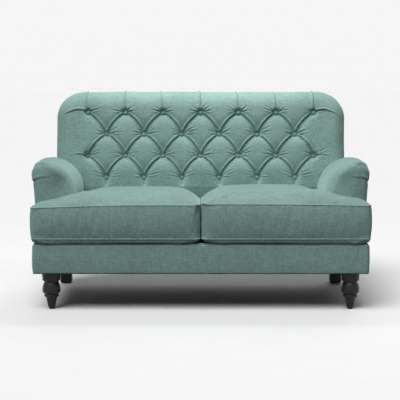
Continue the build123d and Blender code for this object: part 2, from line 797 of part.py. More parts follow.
# Section of a pleat, which steepens towards its line
pleat_slope = (pleat_half_width - pleat_shoulder) / pleat_shoulder_depth
pleat_mouth = pleat_half_width + pleat_slope * pleat_clear
with BuildSketch() as pleat_section:
    with BuildLine():
        Polyline(
            (-pleat_mouth, pleat_clear),
            (-pleat_shoulder, -pleat_shoulder_depth),
            (0, -pleat_depth),
            (pleat_shoulder, -pleat_shoulder_depth),
            (pleat_mouth, pleat_clear),
            close=True,
        )
    make_face()

# Pleats: diagonals between the rows, uprights over the roll and behind the cushions, and fading side pleats
diagonal_pleats = []
side_pleats = []
for across, rise in button_places:
    for step in (-button_pitch / 2, button_pitch / 2):
        lower = (across + step, rise - button_row_pitch)
        if any(abs(lower[0] - p[0]) + abs(lower[1] - p[1]) < button_radius for p in button_places):
            diagonal_pleats.append(pleat_plane((across, rise), lower))
    if abs(across) > (button_columns - 1.5) / 2 * button_pitch:
        outward = 1 if across > 0 else -1
        fade_end = (across + outward * side_pleat_reach, rise, pleat_depth)
        side_pleats.append(pleat_plane((across, rise), fade_end))
upper_pleats = [pleat_plane(p, (p[0], back_top)) for p in first_row]
lower_pleats = [pleat_plane(p, (p[0], p[1] - button_row_pitch)) for p in last_row]
diagonal_length = (button_pitch**2 / 4 + button_row_pitch**2) ** 0.5
dimple_flare = degrees(atan2(dimple_radius - well_radius, button_depth))

# Tufted back pad: rolled edges, diamond pleats, a dimple at every button, wrapped over the top rail
roll_angles = (0, 25, 50, 70, 90)
with BuildPart() as tufted_back_pad:
    with BuildSketch(back_plane.offset(-back_roll_radius)):
        add(back_outline(0, 0))
    extrude(amount=-(back_thickness - back_roll_radius))
    rear_edges = tufted_back_pad.faces().sort_by(Axis(back_plane.origin, out_of_face))[0].edges()
    fillet(rear_edges.sort_by(Axis.Z)[1:], back_rear_round)
    for angle in roll_angles:
        turn = radians(angle)
        with BuildSketch(back_plane.offset(-back_roll_radius * (1 - sin(turn)))):
            add(back_outline(back_roll_radius * (1 - cos(turn)), back_side_round * (1 - cos(turn))))
    loft()
    with BuildSketch(back_plane.offset(-back_pad_thickness)):
        with Locations((0, (hem + frame_foot) / 2)):
            Rectangle(2 * overall_width, hem - frame_foot)
    extrude(amount=-back_thickness, mode=Mode.SUBTRACT)
    with BuildSketch(back_plane.offset(-back_pad_thickness)):
        add(rail_outline(post_outer, hem, rail_crest, top_rail_corner))
    extrude(amount=-webbing_thickness - post_depth, mode=Mode.SUBTRACT)
    split(bisect_by=Plane.XY.offset(base_top), keep=Keep.TOP)
    with BuildSketch(Plane.XY):
        with Locations((0, seat_back_y - overall_depth / 2)):
            Rectangle(2 * overall_width, overall_depth)
    extrude(amount=lean_height, mode=Mode.SUBTRACT)
    with BuildSketch(Plane.XZ.offset(-arm_front)):
        add(arm_outline(soft_gap))
        mirror(about=Plane.YZ)
    extrude(amount=-beyond_rear, mode=Mode.SUBTRACT)
    for plane in diagonal_pleats:
        with BuildSketch(plane):
            add(pleat_section.sketch)
    extrude(amount=diagonal_length, mode=Mode.SUBTRACT)
    for plane in upper_pleats:
        with BuildSketch(plane):
            add(pleat_section.sketch)
    extrude(amount=button_row_drop, mode=Mode.SUBTRACT)
    for plane in lower_pleats:
        with BuildSketch(plane):
            add(pleat_section.sketch)
    extrude(amount=button_row_pitch, mode=Mode.SUBTRACT)
    for plane in side_pleats:
        with BuildSketch(plane):
            add(pleat_section.sketch)
    extrude(amount=side_pleat_reach, mode=Mode.SUBTRACT)
    # dimples, button wells and twine holes
    with BuildSketch(back_plane.offset(-button_depth)):
        with Locations(button_places):
            Circle(well_radius)
    extrude(amount=button_depth, taper=-dimple_flare, mode=Mode.SUBTRACT)
    with BuildSketch(back_plane.offset(-button_depth)):
        with Locations(button_places):
            Circle(twine_radius + twine_gap)
    extrude(amount=-back_pad_thickness, mode=Mode.SUBTRACT)
finish(tufted_back_pad, "tufted_back_pad")

# Covered buttons in their wells
with BuildPart() as back_buttons:
    with BuildSketch(back_plane.offset(-button_depth)):
        with Locations(button_places):
            Circle(button_radius)
    extrude(amount=button_height)
    domes = back_buttons.edges().group_by(Axis(back_plane.origin, out_of_face))[-1]
    fillet(domes, button_round)
finish(back_buttons, "back_buttons")

# Button twines, knotted behind the webbing
with BuildPart() as button_twines:
    with BuildSketch(back_plane.offset(-button_depth)):
        with Locations(button_places):
            Circle(twine_radius)
    extrude(amount=frame_face + button_depth)
    with BuildSketch(frame_face_plane):
        with Locations(button_places):
            Circle(twine_knot_radius)
    extrude(amount=-twine_knot_height)
finish(button_twines, "button_twines")


def cushion_form(inset):
    # right seat cushion, drawn in all round by an inset
    x_in = cushion_gap / 2 + inset
    x_body = cushion_body - inset
    x_ear = ear_end - inset
    y_front = front_y + inset
    y_rear = cushion_rear - inset
    y_ear = ear_rear - inset
    z_bottom = cushion_bottom + inset
    z_lower = lower_seam + inset
    z_upper = upper_seam - inset
    z_crown = crown_top - inset
    y_seam = y_front + cushion_swell
    x_seam = x_ear - cushion_swell
    z_middle = (z_lower + z_upper) / 2
    z_rear = z_upper - cushion_rear_fall
    z_ear = z_upper - cushion_ear_fall
    x_free = x_in - cushion_under_round
    with BuildPart() as cushion:
        with BuildSketch(Plane.XY):
            with BuildLine():
                Polyline(
                    (x_in, y_front),
                    (x_ear, y_front),
                    (x_ear, y_ear),
                    (x_body, y_ear),
                    (x_body, y_rear),
                    (x_in, y_rear),
                    close=True,
                )
            make_face()
        extrude(amount=overall_height)
        fillet(cushion.edges().filter_by(Axis.Z), cushion_corner)
        # front to back section: swelling boxing, crowned top, underside drawn in
        with BuildSketch(Plane.YZ):
            with BuildLine():
                ThreePointArc((y_seam, z_lower), (y_front, z_middle), (y_seam, z_upper))
                ThreePointArc(
                    (y_seam, z_upper),
                    ((y_seam + y_rear) / 2, z_crown + cushion_crown_spare),
                    (y_rear, z_rear),
                )
                Line((y_rear, z_rear), (y_rear, z_lower))
                Line((y_rear, z_lower), (y_rear - cushion_under_round, z_bottom))
                Line((y_rear - cushion_under_round, z_bottom), (y_seam + cushion_under_round, z_bottom))
                Line((y_seam + cushion_under_round, z_bottom), (y_seam, z_lower))
            make_face()
        extrude(amount=overall_width, mode=Mode.INTERSECT)
        # side to side section: shoulder at the centre, long fall to the ear
        shoulder = (x_in + cushion_shoulder, z_crown)
        with BuildSketch(Plane.XZ.offset(-front_y)):
            with BuildLine():
                Line((x_free, z_lower + cushion_seam_drop), (x_free, z_upper - cushion_under_round))
                ThreePointArc(
                    (x_free, z_upper - cushion_under_round),
                    (x_in + cushion_shoulder / 3, z_upper + cushion_crown * 2 / 3),
                    shoulder,
                )
                ThreePointArc(
                    shoulder,
                    ((shoulder[0] + x_seam) / 2, z_crown - cushion_crown / 6),
                    (x_seam, z_ear),
                )
                ThreePointArc((x_seam, z_ear), (x_ear, z_middle), (x_seam, z_lower))
                Line((x_seam, z_lower), (x_seam - cushion_under_round, z_bottom))
                Line((x_seam - cushion_under_round, z_bottom), (x_in + cushion_under_round, z_bottom))
                Line((x_in + cushion_under_round, z_bottom), (x_free, z_lower + cushion_seam_drop))
            make_face()
        extrude(amount=-2 * overall_depth, both=True, mode=Mode.INTERSECT)
    return cushion.part


# Loose seat cushions: a sewn cover and a foam core each
cushion_outer = cushion_form(0)
cushion_inner = cushion_form(cushion_cover_thickness)
cushion_foam = cushion_form(cushion_cover_thickness + cushion_core_gap)
for side, hand in sides:
    with BuildPart() as cushion_cover:
        add(cushion_outer)
        add(cushion_inner, mode=Mode.SUBTRACT)
        if side < 0:
            mirror(about=Plane.YZ, mode=Mode.REPLACE)
    finish(cushion_cover, f"{hand}_cushion_cover")

    with BuildPart() as cushion_core:
        add(cushion_foam)
        if side < 0:
            mirror(about=Plane.YZ, mode=Mode.REPLACE)
    finish(cushion_core, f"{hand}_cushion_core")

# Turned front legs
for side, hand in sides:
    axis_point = (side * front_leg_x, front_leg_y, 0)
    with BuildPart() as front_leg:
        with BuildSketch(Plane(origin=axis_point, x_dir=(1, 0, 0), z_dir=(0, -1, 0))):
            with BuildLine():
                Line((0, glide_thickness), (glide_radius, glide_thickness))
                Line((glide_radius, glide_thickness), (leg_toe_radius, leg_toe_height))
                Line((leg_toe_radius, leg_toe_height), (leg_ankle_radius, leg_ankle_height))
                RadiusArc(
                    (leg_ankle_radius, leg_ankle_height),
                    (leg_ring_radius, leg_ring_height),
                    leg_ring_height - leg_ankle_height,
                )
                RadiusArc(
                    (leg_ring_radius, leg_ring_height),
                    (leg_waist_radius, leg_waist_height),
                    -(leg_waist_height - leg_ring_height),
                )
                RadiusArc(
                    (leg_waist_radius, leg_waist_height),
                    (leg_bulb_radius, leg_bulb_height),
                    -(leg_bulb_height - leg_waist_height),
                )
                RadiusArc(
                    (leg_bulb_radius, leg_bulb_height),
                    (leg_cove_radius, leg_cove_height),
                    -(leg_cove_height - leg_bulb_height) * 2,
                )
                RadiusArc(
                    (leg_cove_radius, leg_cove_height),
                    (leg_collar_radius, leg_collar_base),
                    leg_collar_base - leg_cove_height,
                )
                Line((leg_collar_radius, leg_collar_base), (leg_collar_radius, leg_cap_base))
                Line((leg_collar_radius, leg_cap_base), (leg_cap_radius, leg_cap_base))
                Line((leg_cap_radius, leg_cap_base), (leg_cap_radius, leg_height))
                Line((leg_cap_radius, leg_height), (0, leg_height))
                Line((0, leg_height), (0, glide_thickness))
            make_face()
        revolve(axis=Axis(axis_point, (0, 0, 1)))
        add(bolt_sockets, mode=Mode.SUBTRACT)
        with BuildSketch(Plane.XY.offset(glide_thickness)):
            with Locations((side * front_leg_x, front_leg_y)):
                Circle(glide_pin_radius + fastener_gap)
        extrude(amount=glide_pin_length + socket_room, mode=Mode.SUBTRACT)
    finish(front_leg, f"{hand}_front_leg")

# Square rear legs
for side, hand in sides:
    with BuildPart() as rear_leg:
        with BuildSketch(Plane.XY.offset(glide_thickness)):
            with Locations((side * rear_leg_x, rear_leg_y)):
                Rectangle(rear_leg_width, rear_leg_width)
        extrude(amount=leg_height - glide_thickness)
        chamfer(rear_leg.faces().sort_by(Axis.Z)[0].edges(), rear_leg_chamfer)
        add(bolt_sockets, mode=Mode.SUBTRACT)
        with BuildSketch(Plane.XY.offset(glide_thickness)):
            with Locations((side * rear_leg_x, rear_leg_y)):
                Circle(glide_pin_radius + fastener_gap)
        extrude(amount=glide_pin_length + socket_room, mode=Mode.SUBTRACT)
    finish(rear_leg, f"{hand}_rear_leg")

# Nail-on floor glides
leg_places = ((front_leg_x, front_leg_y), (rear_leg_x, rear_leg_y))
glide_places = [(side * x, y) for side, hand in sides for x, y in leg_places]
with BuildPart() as floor_glides:
    with BuildSketch(Plane.XY):
        with Locations(glide_places):
            Circle(glide_radius)
    extrude(amount=glide_thickness)
    with BuildSketch(Plane.XY.offset(glide_thickness)):
        with Locations(glide_places):
            Circle(glide_pin_radius)
    extrude(amount=glide_pin_length)
finish(floor_glides, "floor_glides")
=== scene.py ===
import json
import math

import bmesh
import bpy
import numpy as np
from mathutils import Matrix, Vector
from mathutils.geometry import delaunay_2d_cdt


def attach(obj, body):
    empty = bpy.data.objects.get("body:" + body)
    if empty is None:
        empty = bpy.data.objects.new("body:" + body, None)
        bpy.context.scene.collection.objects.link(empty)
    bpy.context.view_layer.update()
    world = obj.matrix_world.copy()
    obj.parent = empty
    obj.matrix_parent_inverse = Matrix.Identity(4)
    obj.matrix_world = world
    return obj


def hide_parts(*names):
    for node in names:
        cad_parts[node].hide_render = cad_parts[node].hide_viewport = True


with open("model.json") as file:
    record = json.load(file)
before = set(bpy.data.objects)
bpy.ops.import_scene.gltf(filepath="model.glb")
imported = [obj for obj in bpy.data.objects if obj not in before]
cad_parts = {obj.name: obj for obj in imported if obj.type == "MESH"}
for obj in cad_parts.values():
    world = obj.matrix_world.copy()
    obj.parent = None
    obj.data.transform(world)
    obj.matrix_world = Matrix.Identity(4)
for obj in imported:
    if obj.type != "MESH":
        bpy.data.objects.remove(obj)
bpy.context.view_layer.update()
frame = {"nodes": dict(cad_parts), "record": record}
scene = bpy.context.scene
mm = 0.001

# Node helpers
socketKinds = {
    "colour": "NodeSocketColor",
    "number": "NodeSocketFloat",
    "whole": "NodeSocketInt",
    "geometry": "NodeSocketGeometry",
    "material": "NodeSocketMaterial",
}
effectOutputs = {"Colour": "colour", "Height": "number", "Roughness": "number"}


def addNode(tree, kind, **values):
    node = tree.nodes.new(kind)
    for label, value in values.items():
        if label in node.inputs:
            node.inputs[label].default_value = value
        else:
            setattr(node, label, value)
    return node


def newGroup(name, inputs, outputs, kind="ShaderNodeTree"):
    tree = bpy.data.node_groups.new(name, kind)
    for way, sockets in (("INPUT", inputs), ("OUTPUT", outputs)):
        for label, value in sockets.items():
            tree.interface.new_socket(name=label, in_out=way, socket_type=socketKinds[value])
    return tree, tree.nodes.new("NodeGroupInput"), tree.nodes.new("NodeGroupOutput")


def feedNode(tree, kind, feeds, **values):
    # a node whose inputs are linked to other nodes' sockets
    node = addNode(tree, kind, **values)
    for label, source in feeds.items():
        tree.links.new(source, node.inputs[label])
    return node


def giveOut(tree, end, results):
    for label, source in results.items():
        tree.links.new(source, end.inputs[label])
    return tree


def stretchedNoise(tree, coord, stretch, detail):
    place = feedNode(tree, "ShaderNodeMapping", {"Vector": coord.outputs["Object"]}, Scale=stretch)
    feeds = {"Vector": place.outputs["Vector"]}
    noise = feedNode(tree, "ShaderNodeTexNoise", feeds, Scale=1.0, Detail=detail, Roughness=0.6)
    return noise.outputs["Fac"]


def mathNode(tree, operation, first, second):
    node = addNode(tree, "ShaderNodeMath", operation=operation)
    for socket, value in zip(node.inputs, (first, second)):
        if isinstance(value, (int, float)):
            socket.default_value = value
        else:
            tree.links.new(value, socket)
    return node.outputs[0]


def spread(tree, value, low, high, start=0.0, end=1.0):
    node = tree.nodes.new("ShaderNodeMapRange")
    tree.links.new(value, node.inputs["Value"])
    for label, number in (("From Min", low), ("From Max", high), ("To Min", start), ("To Max", end)):
        node.inputs[label].default_value = number
    return node.outputs["Result"]


def mixColour(tree, factor, first, second):
    node = addNode(tree, "ShaderNodeMix", data_type="RGBA")
    tree.links.new(factor, node.inputs[0])
    tree.links.new(first, node.inputs[6])
    tree.links.new(second, node.inputs[7])
    return node.outputs[2]


def seenDirectly(tree):
    # 1 where the camera sees a surface itself, in a mirror or through glass
    path = tree.nodes.new("ShaderNodeLightPath")
    seen = path.outputs["Is Camera Ray"]
    for label in ("Is Glossy Ray", "Is Transmission Ray"):
        seen = mathNode(tree, "MAXIMUM", seen, path.outputs[label])
    return seen


# Velvet nap: slubs along the threads, and patches where the pile leans
napScale = {"along": 36, "across": 360, "patch": 11, "pile": 1500}


def makeNapGroup():
    inputs = {"Colour": "colour", "Shade": "colour", "Slub": "number", "Patch": "number"}
    tree, start, end = newGroup("velvetNap", inputs, effectOutputs)
    coord = tree.nodes.new("ShaderNodeTexCoord")
    threads = []
    for axis in range(3):
        stretch = [napScale["across"]] * 3
        stretch[axis] = napScale["along"]
        threads.append(stretchedNoise(tree, coord, stretch, 2.0))
    total = mathNode(tree, "ADD", mathNode(tree, "ADD", threads[0], threads[1]), threads[2])
    slub = spread(tree, total, 1.3, 1.7)
    patch = spread(tree, stretchedNoise(tree, coord, [napScale["patch"]] * 3, 3.0), 0.36, 0.64)
    lift = mathNode(tree, "MULTIPLY", slub, start.outputs["Slub"])
    lean = mathNode(tree, "MULTIPLY", patch, start.outputs["Patch"])
    factor = mathNode(tree, "ADD", lift, lean)
    pile = stretchedNoise(tree, coord, [napScale["pile"]] * 3, 1.0)
    results = {
        "Colour": mixColour(tree, factor, start.outputs["Shade"], start.outputs["Colour"]),
        "Height": mathNode(tree, "ADD", slub, mathNode(tree, "MULTIPLY", pile, 0.6)),
        "Roughness": spread(tree, slub, 0.0, 1.0, 0.82, 0.95),
    }
    return giveOut(tree, end, results)


# Timber grain: long streaks with fine pores
grainScale = {"streak": (160, 160, 14), "pores": (900, 900, 60)}


def makeGrainGroup():
    inputs = {"Light": "colour", "Dark": "colour", "Rough": "number"}
    tree, start, end = newGroup("timberGrain", inputs, effectOutputs)
    coord = tree.nodes.new("ShaderNodeTexCoord")
    streak = spread(tree, stretchedNoise(tree, coord, grainScale["streak"], 4.0), 0.35, 0.65)
    pores = stretchedNoise(tree, coord, grainScale["pores"], 2.0)
    uneven = spread(tree, pores, 0.3, 0.7, -0.06, 0.1)
    results = {
        "Colour": mixColour(tree, streak, start.outputs["Dark"], start.outputs["Light"]),
        "Height": mathNode(tree, "ADD", streak, pores),
        "Roughness": mathNode(tree, "ADD", start.outputs["Rough"], uneven),
    }
    return giveOut(tree, end, results)


# Plain weave: two sets of crossing threads
def makeWeaveGroup():
    inputs = {"Thread": "colour", "Gap": "colour", "Pitch": "number"}
    tree, start, end = newGroup("plainWeave", inputs, {"Colour": "colour", "Height": "number"})
    coord = tree.nodes.new("ShaderNodeTexCoord")
    feeds = {"Vector": coord.outputs["Object"], "Scale": start.outputs["Pitch"]}
    waves = []
    for direction in ("X", "Y"):
        wave = feedNode(tree, "ShaderNodeTexWave", feeds, wave_type="BANDS", bands_direction=direction)
        wave.inputs["Distortion"].default_value = 1.2
        wave.inputs["Detail"].default_value = 1.0
        waves.append(wave.outputs["Fac"])
    height = mathNode(tree, "MAXIMUM", waves[0], waves[1])
    tint = mixColour(tree, height, start.outputs["Gap"], start.outputs["Thread"])
    return giveOut(tree, end, {"Colour": tint, "Height": height})


# Even mottling for foam, metal and plastic
def makeMottleGroup():
    inputs = {"Light": "colour", "Dark": "colour", "Size": "number"}
    tree, start, end = newGroup("mottle", inputs, effectOutputs)
    coord = tree.nodes.new("ShaderNodeTexCoord")
    feeds = {"Vector": coord.outputs["Object"], "Scale": start.outputs["Size"]}
    value = feedNode(tree, "ShaderNodeTexNoise", feeds, Detail=3.0).outputs["Fac"]
    factor = spread(tree, value, 0.35, 0.65)
    results = {
        "Colour": mixColour(tree, factor, start.outputs["Dark"], start.outputs["Light"]),
        "Height": value,
        "Roughness": spread(tree, value, 0.3, 0.7, 0.34, 0.5),
    }
    return giveOut(tree, end, results)


groups = {
    "nap": makeNapGroup(),
    "grain": makeGrainGroup(),
    "weave": makeWeaveGroup(),
    "mottle": makeMottleGroup(),
}


def makeMaterial(name, group, values, bump, shader):
    material = bpy.data.materials.new(name)
    material.use_nodes = True
    tree = material.node_tree
    principled = tree.nodes["Principled BSDF"]
    effect = tree.nodes.new("ShaderNodeGroup")
    effect.node_tree = groups[group]
    for label, value in values.items():
        effect.inputs[label].default_value = value
    for label, value in shader.items():
        principled.inputs[label].default_value = value
    tree.links.new(effect.outputs["Colour"], principled.inputs["Base Color"])
    if "Roughness" in effect.outputs:
        tree.links.new(effect.outputs["Roughness"], principled.inputs["Roughness"])
    relief = addNode(tree, "ShaderNodeBump", Strength=bump[0], Distance=bump[1])
    tree.links.new(effect.outputs["Height"], relief.inputs["Height"])
    tree.links.new(relief.outputs["Normal"], principled.inputs["Normal"])
    return material


velvetShader = {
    "Sheen Weight": 0.5,
    "Sheen Roughness": 0.4,
    "Sheen Tint": (0.78, 1.0, 0.94, 1),
    "Specular IOR Level": 0.12,
}
sageVelvet = makeMaterial(
    "sageVelvet",
    "nap",
    {"Colour": (0.26, 0.395, 0.365, 1), "Shade": (0.156, 0.25, 0.229, 1), "Slub": 0.8, "Patch": 0.2},
    (0.5, 0.0008),
    velvetShader,
)
# lighter copy of the velvet for the seam tubes: a painted highlight along the seam lines
seamPaintedHighlightVelvet = makeMaterial(
    "seamPaintedHighlightVelvet",
    "nap",
    {"Colour": (0.34, 0.485, 0.455, 1), "Shade": (0.24, 0.355, 0.33, 1), "Slub": 0.6, "Patch": 0.2},
    (0.3, 0.0005),
    velvetShader,
)
deckCloth = makeMaterial(
    "deckCloth",
    "nap",
    {"Colour": (0.15, 0.23, 0.21, 1), "Shade": (0.1, 0.16, 0.145, 1), "Slub": 0.8, "Patch": 0.2},
    (0.5, 0.0005),
    {"Specular IOR Level": 0.2},
)
finishes = {
    "sage_velvet": sageVelvet,
    "frame_timber": makeMaterial(
        "frameTimber",
        "grain",
        {"Light": (0.62, 0.45, 0.28, 1), "Dark": (0.46, 0.31, 0.17, 1), "Rough": 0.6},
        (0.3, 0.0006),
        {},
    ),
    "black_timber": makeMaterial(
        "blackTimber",
        "grain",
        {"Light": (0.016, 0.016, 0.017, 1), "Dark": (0.007, 0.007, 0.008, 1), "Rough": 0.36},
        (0.15, 0.0004),
        {"Specular IOR Level": 0.3},
    ),
    "spring_steel": makeMaterial(
        "springSteel",
        "mottle",
        {"Light": (0.5, 0.5, 0.52, 1), "Dark": (0.36, 0.36, 0.38, 1), "Size": 300.0},
        (0.1, 0.0003),
        {"Metallic": 1.0},
    ),
    "cushion_filling": makeMaterial(
        "cushionFilling",
        "mottle",
        {"Light": (0.75, 0.68, 0.48, 1), "Dark": (0.62, 0.55, 0.36, 1), "Size": 600.0},
        (0.5, 0.0008),
        {"Specular IOR Level": 0.1},
    ),
    "hessian": makeMaterial(
        "hessianCloth",
        "weave",
        {"Thread": (0.42, 0.32, 0.2, 1), "Gap": (0.16, 0.11, 0.06, 1), "Pitch": 160.0},
        (0.6, 0.0008),
        {"Roughness": 0.95},
    ),
    "black_lining": makeMaterial(
        "blackLining",
        "weave",
        {"Thread": (0.018, 0.018, 0.019, 1), "Gap": (0.006, 0.006, 0.006, 1), "Pitch": 300.0},
        (0.4, 0.0004),
        {"Roughness": 0.9},
    ),
    "black_nylon": makeMaterial(
        "blackNylon",
        "mottle",
        {"Light": (0.022, 0.022, 0.023, 1), "Dark": (0.014, 0.014, 0.015, 1), "Size": 500.0},
        (0.1, 0.0002),
        {},
    ),
}

# The frame's own nodes take the finish that the record names for them
slotOfNode = {entry["node"]: entry["material_slot"] for entry in frame["record"]["subparts"]}
for nodeName, nodeObject in frame["nodes"].items():
    if not nodeObject.material_slots:
        nodeObject.data.materials.append(None)
    for place in nodeObject.material_slots:
        place.material = finishes[slotOfNode[nodeName]]
print("finishes on", len(frame["nodes"]), "frame nodes")


# Mesh helpers
def newObject(name, points, faces, material, smooth=True):
    mesh = bpy.data.meshes.new(name)
    mesh.from_pydata(np.asarray(points).tolist(), [], faces)
    mesh.polygons.foreach_set("use_smooth", [smooth] * len(mesh.polygons))
    mesh.materials.append(material)
    mesh.update()
    piece = bpy.data.objects.new(name, mesh)
    scene.collection.objects.link(piece)
    return piece


def settle(piece, body, nodes=()):
    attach(piece, body)
    if nodes:
        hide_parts(*nodes)
    print("made", piece.name, len(piece.data.polygons), "faces")


def vertexValues(mesh, label="co"):
    values = np.empty(len(mesh.vertices) * 3)
    mesh.vertices.foreach_get(label, values)
    return values.reshape(-1, 3)


def movePoints(mesh, points):
    mesh.vertices.foreach_set("co", points.ravel())
    mesh.update()


def plainMesh(piece):
    # what the modifiers make becomes the piece's own mesh
    graph = bpy.context.evaluated_depsgraph_get()
    mesh = bpy.data.meshes.new_from_object(piece.evaluated_get(graph))
    piece.modifiers.clear()
    piece.data = mesh


def growPiece(name, points, edges, tree, values):
    # points or lines that a Geometry Nodes tree turns into a piece
    mesh = bpy.data.meshes.new(name)
    mesh.from_pydata(np.asarray(points).tolist(), edges, [])
    piece = bpy.data.objects.new(name, mesh)
    scene.collection.objects.link(piece)
    modifier = piece.modifiers.new(tree.name, "NODES")
    modifier.node_group = tree
    for item in tree.interface.items_tree:
        if item.in_out == "INPUT" and item.name in values:
            modifier[item.identifier] = values[item.name]
    plainMesh(piece)
    return piece


def geometryTree(name, inputs):
    ends = {"Geometry": "geometry"}
    return newGroup(name, ends | inputs, ends, "GeometryNodeTree")


def endTree(tree, node, material, end):
    # instances become real, in the piece's own material
    real = feedNode(tree, "GeometryNodeRealizeInstances", {"Geometry": node.outputs[0]})
    feeds = {"Geometry": real.outputs[0], "Material": material}
    cover = feedNode(tree, "GeometryNodeSetMaterial", feeds)
    tree.links.new(cover.outputs[0], end.inputs[0])
    return tree


def closedEdges(loops):
    edges, first = [], 0
    for loop in loops:
        edges += [(first + k, first + (k + 1) % len(loop)) for k in range(len(loop))]
        first += len(loop)
    return edges


def bandFaces(upper, under):
    # quads between two closed rings
    pairs = zip(upper, np.roll(upper, -1), under, np.roll(under, -1))
    return [[int(c), int(d), int(b), int(a)] for a, b, c, d in pairs]


def gridFaces(rows, columns):
    index = np.arange(rows * columns).reshape(rows, columns)
    faces = np.stack((index[:-1, :-1], index[:-1, 1:], index[1:, 1:], index[1:, :-1]), axis=-1)
    return faces.reshape(-1, 4).tolist()


def gridBorder(rows, columns):
    index = np.arange(rows * columns).reshape(rows, columns)
    loop = np.concatenate((index[0, :-1], index[:-1, -1], index[-1, :0:-1], index[:0:-1, 0]))
    return loop.tolist()


def fanFaces(loop, centre):
    return [(b, a, centre) for a, b in zip(loop, loop[1:] + loop[:1])]


def softNoise(points, size, seed):
    table = np.random.RandomState(seed).rand(16, 16, 16) * 2 - 1
    place = np.asarray(points) / size
    cell = np.floor(place).astype(int)
    part = place - cell
    part = part * part * (3 - 2 * part)
    total = np.zeros(len(place))
    for corner in range(8):
        step = np.array((corner & 1, corner >> 1 & 1, corner >> 2 & 1))
        weight = np.where(step == 1, part, 1 - part).prod(axis=1)
        at = (cell + step) % 16
        total += weight * table[at[:, 0], at[:, 1], at[:, 2]]
    return total


def slackNoise(points, layers):
    # each layer gives the size of its waves, their height and a seed
    return sum(height * softNoise(points, size, seed) for size, height, seed in layers)


def bell(value, centre, width):
    return np.exp(-(((value - centre) / width) ** 2))


def smoothLine(path, t, rounds):
    # a line through a few points, softened
    path = np.asarray(path, float)
    way = np.linspace(0, 1, len(path))
    line = np.stack([np.interp(t, way, path[:, k]) for k in (0, 1)], axis=1)
    for step in range(rounds):
        line[1:-1] = (line[:-2] + 2 * line[1:-1] + line[2:]) / 4
    return line


def besideLine(line, a, b, side):
    # for each spot: squared distances to the line's points, the nearest of them, how far it is, and
    # how far the spot lies to one side of the line
    square = (a[:, None] - line[:, 0]) ** 2 + (b[:, None] - line[:, 1]) ** 2
    nearest = square.argmin(axis=1)
    away = np.sqrt(square[np.arange(len(a)), nearest])
    way = np.gradient(line, axis=0)
    way /= np.linalg.norm(way, axis=1)[:, None]
    da, db = a - line[nearest, 0], b - line[nearest, 1]
    signed = side * (way[nearest, 0] * db - way[nearest, 1] * da)
    return square, nearest, away, signed


def inflate(held, reach, rounds):
    # height that a stretched cover takes between the cells where it is held down
    height = np.zeros(held.shape)
    share = 1 / (4 + 1 / reach**2)
    for step in range(rounds):
        edge = np.pad(height, 1, mode="edge")
        height = (edge[:-2, 1:-1] + edge[2:, 1:-1] + edge[1:-1, :-2] + edge[1:-1, 2:] + 1) * share
        height[held] = 0
    return height / reach**2


def readGrid(grid, column, row):
    column = np.clip(column, 0, grid.shape[1] - 1.001)
    row = np.clip(row, 0, grid.shape[0] - 1.001)
    c, r = column.astype(int), row.astype(int)
    x, y = column - c, row - r
    low = grid[r, c] * (1 - x) + grid[r, c + 1] * x
    high = grid[r + 1, c] * (1 - x) + grid[r + 1, c + 1] * x
    return low * (1 - y) + high * y


# Studio: camera at the photograph's place, pale floor, soft light from above
studio = {
    "camera": (-0.0034, -5.84, 1.1034),
    "pitch": 6.637,
    "lens": 117.675,
    "background": 0.92,
    "ambient": 0.13,
    "floor": 0.825,
    "floorBounce": 0.16,
    "floorReach": 30.0,
    "keyLight": 2.95,
    "keyTurn": (26, -15, 0),
    "keySpread": 46,
    "rearLight": 0.85,
    "rearTurn": (-52, 14, 0),
    "strip": (0.0, 0.14, 1.38),
    "stripSize": (1.15, 0.2),
    "stripPower": 5.0,
}
cameraData = bpy.data.cameras.new("camera")
cameraData.lens = studio["lens"]
cameraData.sensor_width = 36
cameraData.clip_end = 100
camera = bpy.data.objects.new("camera", cameraData)
camera.location = studio["camera"]
camera.rotation_euler = (math.radians(90 - studio["pitch"]), 0, 0)
scene.collection.objects.link(camera)
scene.camera = camera
scene.view_settings.view_transform = "Standard"

for label in ("key", "rear"):
    lampData = bpy.data.lights.new(label + "Light", "SUN")
    lampData.energy = studio[label + "Light"]
    lampData.angle = math.radians(studio["keySpread"])
    lamp = bpy.data.objects.new(label + "Light", lampData)
    lamp.rotation_euler = [math.radians(turn) for turn in studio[label + "Turn"]]
    scene.collection.objects.link(lamp)

stripData = bpy.data.lights.new("stripLight", "AREA")
stripData.shape = "RECTANGLE"
stripData.size, stripData.size_y = studio["stripSize"]
stripData.energy = studio["stripPower"]
strip = bpy.data.objects.new("stripLight", stripData)
strip.location = studio["strip"]
strip.visible_camera = False
scene.collection.objects.link(strip)

world = bpy.data.worlds.new("studio")
scene.world = world
world.use_nodes = True
tree = world.node_tree
light = tree.nodes["Background"]
light.inputs["Color"].default_value = (1, 1, 1, 1)
light.inputs["Strength"].default_value = studio["ambient"]
pale = addNode(tree, "ShaderNodeBackground", Strength=1.0)
pale.inputs["Color"].default_value = (studio["background"],) * 3 + (1,)
choose = tree.nodes.new("ShaderNodeMixShader")
for socket, source in zip(choose.inputs, (seenDirectly(tree), light.outputs[0], pale.outputs[0])):
    tree.links.new(source, socket)
tree.links.new(choose.outputs[0], tree.nodes["World Output"].inputs["Surface"])

floorMaterial = makeMaterial(
    "paleFloor",
    "mottle",
    {"Light": (studio["floor"],) * 3 + (1,), "Dark": (studio["floor"] - 0.01,) * 3 + (1,), "Size": 6.0},
    (0.02, 0.0005),
    {"Specular IOR Level": 0.0},
)
tree = floorMaterial.node_tree
shader, mottle = tree.nodes["Principled BSDF"], tree.nodes["Group"]
